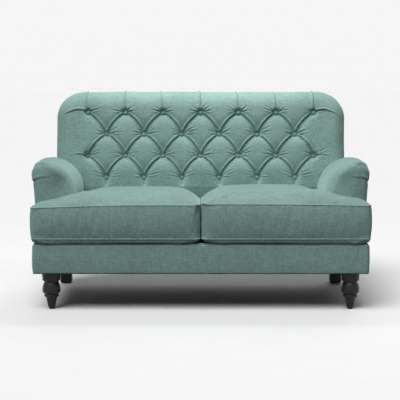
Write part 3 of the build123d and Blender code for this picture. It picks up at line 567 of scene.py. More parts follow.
# what the floor throws back on the sofa is darker than what the camera sees of it
bounce = tree.nodes.new("ShaderNodeRGB")
bounce.outputs[0].default_value = (studio["floorBounce"],) * 3 + (1,)
tint = mixColour(tree, seenDirectly(tree), bounce.outputs[0], mottle.outputs["Colour"])
tree.links.new(tint, shader.inputs["Base Color"])
reach = studio["floorReach"]
floor = newObject(
    "floor",
    [(-reach, -reach, 0), (reach, -reach, 0), (reach, reach, 0), (-reach, reach, 0)],
    [(0, 1, 2, 3)],
    floorMaterial,
    smooth=False,
)
print("studio ready")

# Deep-buttoned back, in millimetres: u across, v up the slope, w out of the face
backShape = {
    "seatY": 138.39,
    "leanZ": 470.0,
    "rake": math.radians(11),
    "half": 668.0,
    "top": 452.5,
    "foot": -181.0,
    "corner": 129.0,
    "topRoll": 85.0,
    "sideRoll": 54.0,
    "depth": 217.0,
    "rearRound": 25.0,
    "sideRearRound": 7.0,
    "topLap": 98.0,
    "sideLap": 22.0,
    "lapTurn": 15.0,
    "cell": 3.0,
    "rings": (20, 34, 8, 5, 5),
    "pitch": 174.0,
    "rowPitch": 100.0,
    "rows": ((344.98, 7), (244.98, 6), (144.98, 7), (44.98, 6)),
    "wells": {344.98: 24.0, 244.98: 30.0, 144.98: 30.0, 44.98: 30.0},
    # buttons further out than this are the outermost of a row of seven
    "outermost": 500.0,
    "slack": ((120, 1.8, 3), (45, 0.5, 4)),
    "inset": 1.0,
    "fadeRings": 8,
    "rearProud": 10.0,
    # hidden point that closes the pad from behind
    "hub": (0.0, 100.0, -150.0),
    "seed": 7,
}
# the rear of the frame leans back from its foot
rearSlope = {"y": 288.5, "z": 160.0, "lean": 0.1944}


def leanPoints(u, v, w):
    rake = backShape["rake"]
    up = np.maximum(v, 0)
    down = np.minimum(v, 0)
    y = backShape["seatY"] + up * math.sin(rake) - w * math.cos(rake)
    z = backShape["leanZ"] + up * math.cos(rake) + down + w * math.sin(rake)
    return np.stack((u, y, z), axis=-1) * mm


def rearPlane(z, proud):
    # the rear of the frame at a height, and how far a piece stands behind it
    return rearSlope["y"] + (z - rearSlope["z"]) * rearSlope["lean"] + proud


buttonSpots = [
    ((column - (count - 1) / 2) * backShape["pitch"], v)
    for v, count in backShape["rows"]
    for column in range(count)
]


# Creases between the buttons and pleats at the edges, in millimetres; depths run out from the button
creaseShape = {
    "points": 40,
    "bow": 0.42,
    "bowVary": 0.06,
    "least": 10.5,
    "end": 30.0,
    # the outermost creases that run outwards lie shallower, where the plain side begins
    "outerLeast": 8.5,
    "outerEnd": 24.0,
    "endPower": 2.2,
    # depth from which a crease or a pleat holds the cover down
    "hold": 9.0,
    "pleatHold": 15.0,
    "lean": 4.0,
    "topPleat": {"rise": (110, 235), "depths": (19, 9, 7, 6, 5, 4, 3, 2, 0.5), "fold": 1.5},
    "cornerPleat": {
        "path": ((0, 0), (18, 9), (38, 12), (64, 8), (92, -4), (120, -20)),
        "depths": (22, 9, 5, 3, 1.5, 0.3),
        "fold": 1.2,
    },
    "sidePleat": {"path": ((0, 0), (40, 4), (80, -4)), "depths": (30, 11, 6, 3, 0.5), "fold": 0.5},
    "footPleat": {"fall": 100, "depths": (33, 18, 9, 4, 1), "fold": 0.35},
}


def backCreases():
    # each crease: its points, its depth along them, the side of its fold, the fold's size, and its hold
    s = creaseShape
    draw = np.random.RandomState(backShape["seed"])
    t = np.linspace(0, 1, s["points"])
    turn = t * math.pi / 2
    creases = []

    def addPleat(path, pleat, side):
        depth = np.interp(t, np.linspace(0, 1, len(pleat["depths"])), pleat["depths"])
        size = pleat["fold"] * np.sin(math.pi * t) ** 0.35 * (1 - t) ** 0.6
        creases.append((smoothLine(path, t, 6), depth, side, size, s["pleatHold"]))

    half, fall = backShape["pitch"] / 2, backShape["rowPitch"]
    topRow, thirdRow, lowestRow = [backShape["rows"][k][0] for k in (0, 2, 3)]
    for u, v in buttonSpots:
        far = abs(u) > backShape["outermost"]
        for side in (-1, 1):
            lower = (u + side * half, v - fall)
            if not any(math.dist(lower, spot) < 10 for spot in buttonSpots):
                continue
            bow = s["bow"] + draw.uniform(-s["bowVary"], s["bowVary"])
            across = u + side * half * ((1 - bow) * t + bow * np.sin(turn))
            down = v - fall * ((1 - bow) * t + bow * (1 - np.cos(turn)))
            outer = abs(lower[0]) > backShape["outermost"] and not far
            least = s["outerLeast"] if outer else s["least"]
            ends = np.interp(t, (0, 1), (backShape["wells"][v], s["outerEnd"] if outer else s["end"]))
            depth = least + (ends - least) * np.abs(2 * t - 1) ** s["endPower"]
            line = np.stack((across, down), axis=1)
            creases.append((line, depth, side, np.sin(math.pi * t) ** 0.3, s["hold"]))
        lean = draw.uniform(-s["lean"], s["lean"])
        out = np.sign(u)
        if v == topRow:
            line = [(u, v)] + [(u + lean, v + rise) for rise in s["topPleat"]["rise"]]
            addPleat(line, s["topPleat"], 1)
        if v == topRow and far:
            line = [(u + out * x, v + y) for x, y in s["cornerPleat"]["path"]]
            addPleat(line, s["cornerPleat"], out)
        if v == lowestRow:
            addPleat([(u, v), (u + lean, v - s["footPleat"]["fall"])], s["footPleat"], 1)
        if v == thirdRow and far:
            line = [(u + out * x, v + y) for x, y in s["sidePleat"]["path"]]
            addPleat(line, s["sidePleat"], out)
    return creases


# Depth of the buttoned face below its plain form, worked out on a grid over the whole cover
tuftShape = {
    "cell": 5.0,
    "low": (-900.0, -220.0),
    "cells": (190, 361),
    # how far a crease is felt, the width over which depths blend, and the depth far from all creases
    "reach": 62.0,
    "blend": 24.0,
    "plain": 15.0,
    "plainWeight": 0.015,
    # fold beside a crease: height, place and width of its ridge and of its groove
    "foldEnd": 4.0,
    "ridge": (7.2, 6.0, 3.4),
    "groove": (4.0, -1.0, 2.6),
    # swell of the filling between the creases, measured at the middle of a diamond
    "swell": 52.0,
    "rounds": 700,
    "middle": (0.0, 245.0),
    "puffed": 0.88,
    "drawn": 0.12,
    "drawnWidth": 6.0,
    # where the filling is free beyond the outermost buttons
    "freeStart": 4.0,
    "freeWidth": 28.0,
    "freeShare": 0.55,
    # how the cover turns in below the lowest buttons, down to the seat
    "turnIn": 16.0,
    "turnStart": 80.0,
    "turnLength": 130.0,
}


def tuftDip(su, sv):
    s = tuftShape
    count = len(su)
    near, lip = np.full(count, 400.0), np.zeros(count)
    total, weight = np.full(count, s["plainWeight"] * s["plain"]), np.full(count, s["plainWeight"])
    cell, low = s["cell"], np.array(s["low"])
    held = np.zeros(s["cells"], bool)
    station = np.arange(creaseShape["points"])
    fine = np.linspace(0, station[-1], 240)
    for points, depth, side, fold, hold in backCreases():
        spot = np.stack([np.interp(fine, station, points[:, k]) for k in (0, 1)], axis=1)
        spot = np.round((spot - low) / cell).astype(int)[np.interp(fine, station, depth) > hold]
        held[spot[:, 1], spot[:, 0]] = True
        least, most = points.min(0) - s["reach"], points.max(0) + s["reach"]
        pick = np.nonzero((su > least[0]) & (su < most[0]) & (sv > least[1]) & (sv < most[1]))[0]
        square, nearest, away, signed = besideLine(points, su[pick], sv[pick], side)
        share = np.exp(-square / s["blend"] ** 2)
        total[pick] += (share * depth).sum(axis=1)
        weight[pick] += share.sum(axis=1)
        near[pick] = np.minimum(near[pick], away)
        beside = fold[nearest] * bell(away - np.abs(signed), 0, s["foldEnd"])
        ridge = s["ridge"][0] * bell(signed, *s["ridge"][1:])
        groove = s["groove"][0] * bell(signed, *s["groove"][1:])
        lip[pick] += beside * (ridge - groove)
    # the filling swells between the creases, and the cover is drawn in sharply beside them
    puff = inflate(held, s["swell"] / cell, s["rounds"])
    column, row = ((np.array(s["middle"]) - low) / cell).astype(int)
    puff = readGrid(puff / puff[row, column], (su - low[0]) / cell, (sv - low[1]) / cell)
    puff = puff / (1 + puff**4) ** 0.25
    # the filling stands up at once above the top row, and beside the outermost buttons
    above = sv - backShape["rows"][0][0]
    beyond = np.abs(su) - 3 * backShape["pitch"]
    free = np.clip((above - s["freeStart"]) / s["freeWidth"], 0, 1)
    free = np.maximum(free, np.clip((beyond - s["freeStart"]) / s["freeWidth"], 0, 1))
    deep = total / weight * (1 - s["freeShare"] * free)
    drawn = s["drawn"] * (1 - np.exp(-near / s["drawnWidth"]))
    dip = deep * (1 - drawn - s["puffed"] * puff) - lip
    dip = dip + s["turnIn"] * np.clip((s["turnStart"] - sv) / s["turnLength"], 0, 1) ** 1.3
    return dip + buttonDip(su, sv, dip)


# Wells at the buttons, and wrinkles fanning out from them: angles in degrees and lengths
wellShape = {
    "window": 95.0,
    "radius": 13.5,
    "extra": 1.0,
    # soft hollow above each button of the top row: depth, half width, height and half height
    "topHollow": (4.0, 46.0, 30.0, 28.0),
    "sideFan": ((46, 44), (31, 62), (16, 68), (2, 46), (134, 42), (149, 56), (164, 54), (179, 38)),
    "topFan": ((18, 54), (36, 54), (55, 46), (73, 40), (107, 40), (126, 46), (144, 54), (162, 52)),
    "turn": 6.0,
    "stretch": (0.9, 1.35),
    "size": (4.2, 6.8),
    "curl": (60.0, 6.0),
    "start": 9.0,
    "fadeIn": 10.0,
    "width": 3.0,
    "lip": (0.5, 6.0, 3.4),
}


def buttonDip(su, sv, dip):
    s = wellShape
    draw = np.random.RandomState(backShape["seed"] + 1)
    extra = np.zeros(len(su))
    for u, v in buttonSpots:
        pick = np.nonzero((np.abs(su - u) < s["window"]) & (np.abs(sv - v) < s["window"]))[0]
        du, dv = su[pick] - u, sv[pick] - v
        top = v == backShape["rows"][0][0]
        well = np.exp(-((np.hypot(du, dv) / s["radius"]) ** 2.6))
        add = (backShape["wells"][v] + s["extra"] - dip[pick]) * well
        if top:
            deep, wide, place, high = s["topHollow"]
            add += deep * bell(du, 0, wide) * bell(dv, place, high)
        for angle, length in s["topFan"] if top else s["sideFan"]:
            aim = math.radians(angle + draw.uniform(-s["turn"], s["turn"]))
            reach = length * draw.uniform(*s["stretch"])
            size = draw.uniform(*s["size"])
            along = du * math.cos(aim) + dv * math.sin(aim)
            across = dv * math.cos(aim) - du * math.sin(aim)
            across = across + (along / s["curl"][0]) ** 2 * s["curl"][1] * math.cos(aim)
            fade = np.clip((along - s["start"]) / s["fadeIn"], 0, 1)
            fade = fade * np.clip(1 - along / reach, 0, 1) ** 0.9
            valley = bell(across, 0, s["width"]) - s["lip"][0] * bell(np.abs(across), *s["lip"][1:])
            add += size * fade * valley
        extra[pick] += add
    return extra


def ringProfile(theta, ring):
    # how far a ring of the wrapped edge stands out and back, its length along the cover, and its direction
    s = backShape
    n = s["rings"]
    share = np.sin(theta) ** 2
    roll = s["sideRoll"] + (s["topRoll"] - s["sideRoll"]) * share
    reach = np.clip(theta / math.radians(s["lapTurn"]), 0, 1)
    lap = s["sideLap"] + (s["topLap"] - s["sideLap"]) * reach**2 * (3 - 2 * reach)
    rear = s["sideRearRound"] + (s["rearRound"] - s["sideRearRound"]) * share
    flat = s["corner"] - roll
    stops = np.cumsum((0,) + n)
    part = [np.clip((ring - stops[k]) / n[k], 0, 1) for k in range(5)]
    turn, back = part[1] * math.pi / 2, part[3] * math.pi / 2
    wall = s["depth"] - roll - rear
    out = flat * part[0] + roll * np.sin(turn) - rear * (1 - np.cos(back)) - lap * part[4]
    w = -roll * (1 - np.cos(turn)) - wall * part[2] - rear * np.sin(back)
    length = flat * part[0] + roll * turn + wall * part[2] + rear * back + lap * part[4]
    outward = np.sin(turn) * np.cos(back)
    forward = np.cos(turn) - np.sin(back)
    return out, w, length, outward, forward


def makeTuftedBack():
    s = backShape
    edgeU = s["half"] - s["corner"]
    edgeV = s["top"] - s["corner"]
    rings = sum(s["rings"])
    across = np.linspace(-edgeU, edgeU, int(2 * edgeU / s["cell"]) + 1)
    rise = np.linspace(s["foot"], edgeV, int((edgeV - s["foot"]) / s["cell"]) + 1)
    band = np.arange(1, rings + 1)
    columnRing = np.concatenate((-band[::-1], np.zeros(len(across), int), band))
    columnU = np.concatenate((np.full(rings, -edgeU), across, np.full(rings, edgeU)))
    rowRing = np.concatenate((np.zeros(len(rise), int), band))
    rowV = np.concatenate((rise, np.full(rings, edgeV)))
    i, j = np.meshgrid(columnRing, rowRing)
    u, v = np.meshgrid(columnU, rowV)
    hand = np.sign(i)
    i = np.abs(i)
    ring = np.maximum(i, j).astype(float)
    with np.errstate(divide="ignore", invalid="ignore"):
        theta = np.where(i >= j, j / i * math.pi / 4, math.pi / 2 - i / j * math.pi / 4)
    theta = np.where(ring == 0, 0, theta)
    out, w, length, outward, forward = ringProfile(theta, ring)
    side, up = hand * np.cos(theta), np.sin(theta)
    side = np.where(hand == 0, 0, side)
    up = np.where((hand == 0) & (j > 0), 1, up)
    dip = tuftDip((u + side * length).ravel(), (v + up * length).ravel()).reshape(u.shape)
    fade = np.clip((sum(s["rings"][:3]) - ring) / s["fadeRings"], 0, 1)
    spot = np.stack((u + side * length, v + up * length, 0 * u), axis=-1).reshape(-1, 3)
    dip = dip * fade + slackNoise(spot, s["slack"]).reshape(u.shape) + s["inset"]
    points = leanPoints(
        u + side * (out - outward * dip), v + up * (out - outward * dip), w - forward * dip
    ).reshape(-1, 3)
    # below the seat the rear keeps to the leaning plane of the frame
    points[:, 1] = np.minimum(points[:, 1], rearPlane(points[:, 2] / mm, s["rearProud"]) * mm)
    rows, columns = u.shape
    hub = leanPoints(*np.array(s["hub"])[:, None])
    faces = gridFaces(rows, columns) + fanFaces(gridBorder(rows, columns), len(points))
    piece = newObject("tuftedBack", np.concatenate((points, hub)), faces, sageVelvet)
    nodes = ("tufted_back_pad", "left_back_side_panel", "right_back_side_panel")
    settle(piece, "frame", nodes)


makeTuftedBack()

# Covered buttons, set out by Geometry Nodes on one point each
buttonSize = {
    "radius": 0.0112,
    "rise": 0.0082,
    "vary": (0.95, 1.05),
    # how far the buttons of each row stand out of the bottom of their wells, in millimetres
    "proud": (3.0, -0.5, -0.5, -0.5),
    "seed": 5,
}


def makeButtonTree():
    inputs = {"Radius": "number", "Rise": "number", "Seed": "whole", "Cover": "material"}
    tree, start, end = geometryTree("coveredButtons", inputs)
    given = start.outputs
    dome = addNode(tree, "GeometryNodeMeshUVSphere", Segments=24, Rings=12, Radius=1.0)
    feeds = {"X": given["Radius"], "Y": given["Radius"], "Z": given["Rise"]}
    size = feedNode(tree, "ShaderNodeCombineXYZ", feeds)
    feeds = {"Geometry": dome.outputs["Mesh"], "Scale": size.outputs[0]}
    shape = feedNode(tree, "GeometryNodeTransform", feeds)
    smooth = feedNode(tree, "GeometryNodeSetShadeSmooth", {"Geometry": shape.outputs[0]})
    vary = feedNode(tree, "FunctionNodeRandomValue", {"Seed": given["Seed"]}, data_type="FLOAT")
    vary.inputs[2].default_value, vary.inputs[3].default_value = buttonSize["vary"]
    feeds = {"Points": given["Geometry"], "Instance": smooth.outputs[0], "Scale": vary.outputs[1]}
    upright = (math.pi / 2 - backShape["rake"], 0, 0)
    place = feedNode(tree, "GeometryNodeInstanceOnPoints", feeds, Rotation=upright)
    return endTree(tree, place, given["Cover"], end)


def makeButtons():
    s = buttonSize
    spots = np.array(buttonSpots)
    proud = {row[0]: out for row, out in zip(backShape["rows"], s["proud"])}
    sunk = np.array([proud[v] - backShape["wells"][v] for u, v in buttonSpots])
    points = leanPoints(spots[:, 0], spots[:, 1], sunk)
    values = {"Radius": s["radius"], "Rise": s["rise"], "Seed": s["seed"], "Cover": sageVelvet}
    piece = growPiece("backButtons", points, [], makeButtonTree(), values)
    settle(piece, "frame", ("back_buttons",))


makeButtons()


# Sewn pads on a masked grid: seat cushions and the seat deck
padShape = {
    "lipTurns": (0.08, 0.18, 0.32, 0.48, 0.64, 0.8, 0.92),
    "drawRounds": 90,
    "drawFade": 4.04,
}


def cellLine(stops, cell):
    # stations about a cell apart from stop to stop, and the station's number at each stop
    line, numbers = [stops[:1]], [0]
    for a, b in zip(stops, stops[1:]):
        count = round((b - a) / cell)
        line.append(np.linspace(a, b, count + 1)[1:])
        numbers.append(numbers[-1] + count)
    return np.concatenate(line), numbers


def walkRim(active):
    # the edges round the pad, walked so that the outside is on the right
    full = np.pad(active, 1)
    follow = {}
    for i, j in np.argwhere(active):
        if not full[i + 1, j]:
            follow[(i, j)] = (i + 1, j)
        if not full[i + 2, j + 1]:
            follow[(i + 1, j)] = (i + 1, j + 1)
        if not full[i + 1, j + 2]:
            follow[(i + 1, j + 1)] = (i, j + 1)
        if not full[i, j + 1]:
            follow[(i, j + 1)] = (i, j)
    loop = [min(follow)]
    while follow[loop[-1]] != loop[0]:
        loop.append(follow[loop[-1]])
    return np.array(loop)


def drawIn(used, loop, shift):
    # carries a shift of the rim softly into the panel
    move = np.zeros(used.shape + (2,))
    for step in range(padShape["drawRounds"]):
        move[loop[:, 0], loop[:, 1]] = shift
        edge = np.pad(move, ((1, 1), (1, 1), (0, 0)), mode="edge")
        near = edge[:-2, 1:-1] + edge[2:, 1:-1] + edge[1:-1, :-2] + edge[1:-1, 2:]
        move = np.where(used[..., None], near / padShape["drawFade"], 0)
    move[loop[:, 0], loop[:, 1]] = shift
    return move[used]


def swellCover(piece, sewn, values):
    # cloth pass: the filling presses the slack cover out between its seams, which stay where they are
    start = vertexValues(piece.data)
    group = piece.vertex_groups.new(name="sewn")
    group.add([int(k) for k in sewn], 1.0, "REPLACE")
    cloth = piece.modifiers.new("cloth", "CLOTH")
    settings = cloth.settings
    settings.vertex_group_mass = "sewn"
    settings.quality = values["quality"]
    settings.mass = values["mass"]
    settings.tension_stiffness = settings.compression_stiffness = values["stiffness"]
    settings.shear_stiffness = values["stiffness"] / 3
    settings.bending_stiffness = values["bending"]
    settings.use_pressure = True
    settings.uniform_pressure_force = values["pressure"]
    settings.shrink_min = -values["slack"]
    settings.effector_weights.gravity = 0
    cloth.collision_settings.use_collision = False
    cloth.point_cache.frame_end = values["frames"]
    for step in range(1, values["frames"] + 1):
        scene.frame_set(step)
    graph = bpy.context.evaluated_depsgraph_get()
    move = vertexValues(piece.evaluated_get(graph).to_mesh()) - start
    piece.evaluated_get(graph).to_mesh_clear()
    piece.modifiers.remove(cloth)
    piece.vertex_groups.clear()
    scene.frame_set(1)
    length = np.linalg.norm(move, axis=1)
    moved = [round(float(value) / mm, 2) for value in (length.mean(), length.max())]
    print("cloth moved", piece.name, "by", moved[0], "to", moved[1], "mm")
    move *= (np.minimum(length, values["cap"]) / np.maximum(length, 1e-9))[:, None]
    movePoints(piece.data, start + move)


def sewnPad(name, xs, ys, active, shape, material):
    nx, ny = len(xs), len(ys)
    gx, gy = np.meshgrid(xs, ys, indexing="ij")
    used = np.zeros((nx, ny), bool)
    for di in (0, 1):
        for dj in (0, 1):
            used[di : nx - 1 + di, dj : ny - 1 + dj] |= active
    count = int(used.sum())
    index = np.full((nx, ny), -1)
    index[used] = np.arange(count)
    loop = walkRim(active)
    rim = index[loop[:, 0], loop[:, 1]]
    size = len(rim)
    px, py = shape["warp"](gx[used], gy[used])
    top = np.stack((px, py, shape["top"](px, py)), axis=1)
    way = np.roll(top[rim], -2, axis=0)[:, :2] - np.roll(top[rim], 2, axis=0)[:, :2]
    way /= np.linalg.norm(way, axis=1)[:, None]
    outward = np.stack((way[:, 1], -way[:, 0], 0 * way[:, 0]), axis=1)
    low = np.stack((px, py, shape["low"](px, py)), axis=1)
    # the underside is drawn in further at the corners
    pull = shape["pull"](top[rim])[:, None]
    tuck = shape["tuck"] + shape["cornerTuck"] * (1 - pull)
    low[:, :2] += drawIn(used, loop, -outward[:, :2] * tuck)
    lower = top[rim].copy()
    lower[:, 2] = shape["seam"]
    points, rings, total = [top, low], [rim], 2 * count
    walls = []
    for t in shape["rings"]:
        walls.append(top[rim] * (1 - t) + lower * t + outward * shape["bulge"](top[rim], t)[:, None])
    seamRing = len(walls)
    walls.append(lower + outward * shape["bulge"](top[rim], 1.0)[:, None])
    for turn in padShape["lipTurns"]:
        stand = shape["lip"] * pull**2 * math.sin(math.pi * turn)
        wall = lower + outward * (stand - tuck * turn ** (1 + 2 * pull))
        wall[:, 2] += (low[rim][:, 2] - shape["seam"]) * math.sin(turn * math.pi / 2)
        walls.append(wall)
    for wall in walls:
        rings.append(np.arange(size) + total)
        points.append(wall)
        total += size
    rings.append(rim + count)
    faces = []
    for i, j in np.argwhere(active):
        quad = [int(index[spot]) for spot in ((i, j), (i + 1, j), (i + 1, j + 1), (i, j + 1))]
        faces += [quad, [q + count for q in quad[::-1]]]
    for upper, under in zip(rings[:-1], rings[1:]):
        faces += bandFaces(upper, under)
    points = np.concatenate(points)
    points[:, 2] += shape["creep"](points)
    if shape["hand"] < 0:
        points = points * (-1, 1, 1)
        faces = [face[::-1] for face in faces]
    piece = newObject(name, points * mm, faces, material)
    seams = [rings[0], rings[1 + seamRing]]
    if "cloth" in shape:
        swellCover(piece, np.concatenate(seams), shape["cloth"])
        flip = (shape["hand"], 1, 1)
        points = shape["keep"](vertexValues(piece.data) / mm * flip) * flip
        movePoints(piece.data, points * mm)
    # a seam is a hard line in the shading
    pairs = {tuple(sorted((int(a), int(b)))) for ring in seams for a, b in zip(ring, np.roll(ring, -1))}
    sharp = piece.data.attributes.new("sharp_edge", "BOOLEAN", "EDGE")
    sharp.data.foreach_set("value", [tuple(sorted(edge.vertices)) in pairs for edge in piece.data.edges])
    return piece, [points[ring] * mm for ring in seams]


# Sewn seams and welts: a thin tube along a closed line, by Geometry Nodes
def makeSeamTree():
    inputs = {"Radius": "number", "Sides": "whole", "Cover": "material"}
    tree, start, end = geometryTree("seamTube", inputs)
    given = start.outputs
    line = feedNode(tree, "GeometryNodeMeshToCurve", {"Mesh": given["Geometry"]})
    feeds = {"Resolution": given["Sides"], "Radius": given["Radius"]}
    ring = feedNode(tree, "GeometryNodeCurvePrimitiveCircle", feeds)
    feeds = {"Curve": line.outputs[0], "Profile Curve": ring.outputs["Curve"]}
    tube = feedNode(tree, "GeometryNodeCurveToMesh", feeds)
    smooth = feedNode(tree, "GeometryNodeSetShadeSmooth", {"Geometry": tube.outputs[0]})
    return endTree(tree, smooth, given["Cover"], end)


seamTree = makeSeamTree()


def makeSeams(name, loops, radius, body):
    # the tubes take the lighter velvet, a painted highlight along each seam
    values = {"Radius": radius, "Sides": 8, "Cover": seamPaintedHighlightVelvet}
    piece = growPiece(name, np.concatenate(loops), closedEdges(loops), seamTree, values)
    settle(piece, body)


# Seat cushions, in millimetres: x from the middle outwards, the ear standing out before the arm
cushionShape = {
    "inner": 3.5,
    "body": 534.0,
    "ear": 711.0,
    "front": -429.0,
    "earRear": -314.0,
    "rear": 136.5,
    "cell": 6.5,
    "rearFall": 20.0,
    "innerFall": 18.0,
    "lowerSeam": 309.0,
    "underside": 289.0,
    "tuck": 6.0,
    "lip": 4.0,
    "cornerTuck": 12.0,
    "corner": 14.0,
    "innerCorner": 26.0,
    "swell": 3.0,
    "earSwell": 9.0,
    "cornerFill": 20.0,
    "gap": 2.6,
    "armSide": 535.3,
    "armFront": -312.6,
    "backFace": 137.3,
    "seamRadius": 0.0023,
    "cloth": {
        "pressure": 3.0,
        "slack": 0.012,
        "stiffness": 15,
        "bending": 0.5,
        "mass": 0.25,
        "quality": 5,
        "frames": 20,
        "cap": 0.006,
    },
    "wallRings": (0.02, 0.05, 0.1, 0.18, 0.28, 0.4, 0.52, 0.64, 0.76, 0.86, 0.93, 0.975),
    "crownReach": 62.0,
    "crownRounds": 900,
    "crownPower": 0.72,
    "fallStart": 300.0,
    "innerReach": 120.0,
    # beside the arm the ear keeps the height of the seat and falls towards its tip
    "lift": ((300, 470, 545, 610, 711), (0, 38, 45, 28, 2)),
    "liftLength": 420.0,
    "cornerReach": 60.0,
    "fillReach": 50.0,
    "crownShare": 0.35,
    "edgeRise": 2.0,
    # slack of the wall and of the top: sizes of the waves and their heights
    "wallSlack": ((160, 1.3), (60, 0.5)),
    "leastPull": 0.2,
    "innerFade": 20.0,
    "topSlack": ((170, 2.4), (60, 0.9)),
    "slackStart": 8.0,
    "slackRise": 30.0,
    # heights between which the cushion may swell over the arm's inner corner, and by how much more
    "armRoom": (455, 485),
    "armClear": 4.0,
    # height of the upper seam, its fall towards the ear, and the crown above it
    "left_cushion": {"hand": -1, "seed": 11, "upperSeam": 451.0, "earFall": 12.0, "crown": 48.0},
    "right_cushion": {"hand": 1, "seed": 23, "upperSeam": 455.0, "earFall": 6.0, "crown": 52.0},
}


def roundCorners(px, py, corners):
    px, py = px.copy(), py.copy()
    for cx, cy, sx, sy, radius in corners:
        a = np.clip(1 - sx * (cx - px) / radius, 0, 1)
        b = np.clip(1 - sy * (cy - py) / radius, 0, 1)
        near = (a > 0) & (b > 0)
        na = a * np.sqrt(1 - b * b / 2)
        nb = b * np.sqrt(1 - a * a / 2)
        px = np.where(near, cx - sx * (1 - na) * radius, px)
        py = np.where(near, cy - sy * (1 - nb) * radius, py)
    return px, py


def makeCushion(name, body):
    s = cushionShape | cushionShape[body]
    seed = s["seed"]
    xs, (_, bodyCells, _) = cellLine((s["inner"], s["body"], s["ear"]), s["cell"])
    ys, (_, frontCells, _) = cellLine((s["front"], s["earRear"], s["rear"]), s["cell"])
    active = np.zeros((len(xs) - 1, len(ys) - 1), bool)
    active[:bodyCells, :] = True
    active[:, :frontCells] = True
    # crown of the filling, drawn down all round by the seams
    held = np.ones((len(xs), len(ys)), bool)
    held[1:-1, 1:-1] = ~(active[1:, 1:] & active[:-1, 1:] & active[1:, :-1] & active[:-1, :-1])
    puff = inflate(held, s["crownReach"] / s["cell"], s["crownRounds"]) ** s["crownPower"]
    puff /= puff.max()
    corners = (
        (s["inner"], s["front"], -1, -1, s["innerCorner"]),
        (s["ear"], s["front"], 1, -1, s["corner"]),
        (s["ear"], s["earRear"], 1, 1, s["corner"]),
        (s["body"], s["rear"], 1, 1, s["innerCorner"]),
        (s["inner"], s["rear"], -1, 1, s["innerCorner"]),
    )

    def crownAt(px, py):
        column = np.interp(px, xs, np.arange(len(xs)))
        return readGrid(puff, np.interp(py, ys, np.arange(len(ys))), column)

    def top(px, py):
        back = np.clip((py - s["front"]) / (s["rear"] - s["front"]), 0, 1)
        out = np.clip((px - s["fallStart"]) / (s["ear"] - s["fallStart"]), 0, 1)
        middle = np.clip(1 - (px - s["inner"]) / s["innerReach"], 0, 1) ** 2
        rim = s["upperSeam"] - (s["rearFall"] + s["innerFall"] * middle) * back - s["earFall"] * out**1.3
        beside = np.interp(py, (s["front"], s["earRear"]), (0, 1)) ** 0.8
        lift = np.interp(px, *s["lift"]) * beside
        lift = lift * np.clip(1 - (py - s["earRear"]) / s["liftLength"], 0, 1)
        crown = s["crown"] * crownAt(px, py)
        return rim + np.maximum(crown, lift) + s["crownShare"] * np.minimum(crown, lift)

    def low(px, py):
        return s["underside"] + s["edgeRise"] * (1 - crownAt(px, py)) ** 4

    def pullAt(rim):
        edge = np.minimum.reduce([np.hypot(rim[:, 0] - c[0], rim[:, 1] - c[1]) for c in corners])
        return np.clip(edge / s["cornerReach"], 0, 1)

    def bulge(rim, t):
        spot = rim * (1, 1, 0) + seed * 31
        large, small = s["wallSlack"]
        wave = slackNoise(spot, (large + (seed,), small + (seed + 5,)))
        pull = np.maximum(pullAt(rim), s["leastPull"])
        pull = pull * np.clip((rim[:, 0] - s["inner"]) / s["innerFade"], 0.1, 1)
        swell = np.where(rim[:, 0] > s["ear"] - 2, s["earSwell"], s["swell"])
        return (swell + wave) * pull * math.sin(math.pi * t) ** 0.8

    def creep(points):
        large, small = s["topSlack"]
        soft = slackNoise(points * (1, 1, 0.4) + seed * 17, (large + (seed + 1,),))
        soft += slackNoise(points + seed * 9, (small + (seed + 2,),))
        above = points[:, 2] - s["upperSeam"] + s["slackStart"]
        return soft * np.clip(above / s["slackRise"], 0, 1)

    def keep(points):
        # clear of the other cushion, the arm and the back
        x, y = np.maximum(points[:, 0], s["gap"]), np.minimum(points[:, 1], s["backFace"])
        over, past = x - s["armSide"], y - s["armFront"]
        room = np.interp(points[:, 2], s["armRoom"], (0, s["cornerFill"] + s["armClear"]))
        both = (over > 0) & (past > 0) & ((over > room) | (past > room))
        x = np.where(both & (over <= past), s["armSide"], x)
        y = np.where(both & (over > past), s["armFront"], y)
        return np.stack((x, y, points[:, 2]), axis=1)

    def warp(px, py):
        near = np.clip(1 - np.abs(px - s["body"]) / s["fillReach"], 0, 1)
        near = near * np.clip(1 - np.abs(py - s["earRear"]) / s["fillReach"], 0, 1)
        px, py = roundCorners(px, py, corners)
        return px + s["cornerFill"] * near**2, py + s["cornerFill"] * near**2

    shape = {
        "keep": keep,
        "warp": warp,
        "top": top,
        "low": low,
        "seam": s["lowerSeam"],
        "pull": pullAt,
        "rings": s["wallRings"],
        "bulge": bulge,
        "creep": creep,
    }
    shape |= {label: s[label] for label in ("tuck", "lip", "cornerTuck", "hand", "cloth")}
    piece, seams = sewnPad(name, xs, ys, active, shape, sageVelvet)
    settle(piece, body, (body + "_cover", body + "_core"))
    makeSeams(name + "Seams", seams, s["seamRadius"], body)


makeCushion("leftSeatCushion", "left_cushion")
makeCushion("rightSeatCushion", "right_cushion")

# Seat deck under the cushions, running on a little way under the arms and the back
deckShape = {
    "wide": 690.0,
    "narrow": 560.0,
    "front": -395.0,
    "ear": -285.0,
    "rear": 165.0,
    "cell": 12.0,
    "height": 286.4,
    "seam": 281.0,
    "underside": 279.0,
    "tuck": 2.0,
    "swell": 1.5,
    "slack": ((190, 0.8, 41),),
}


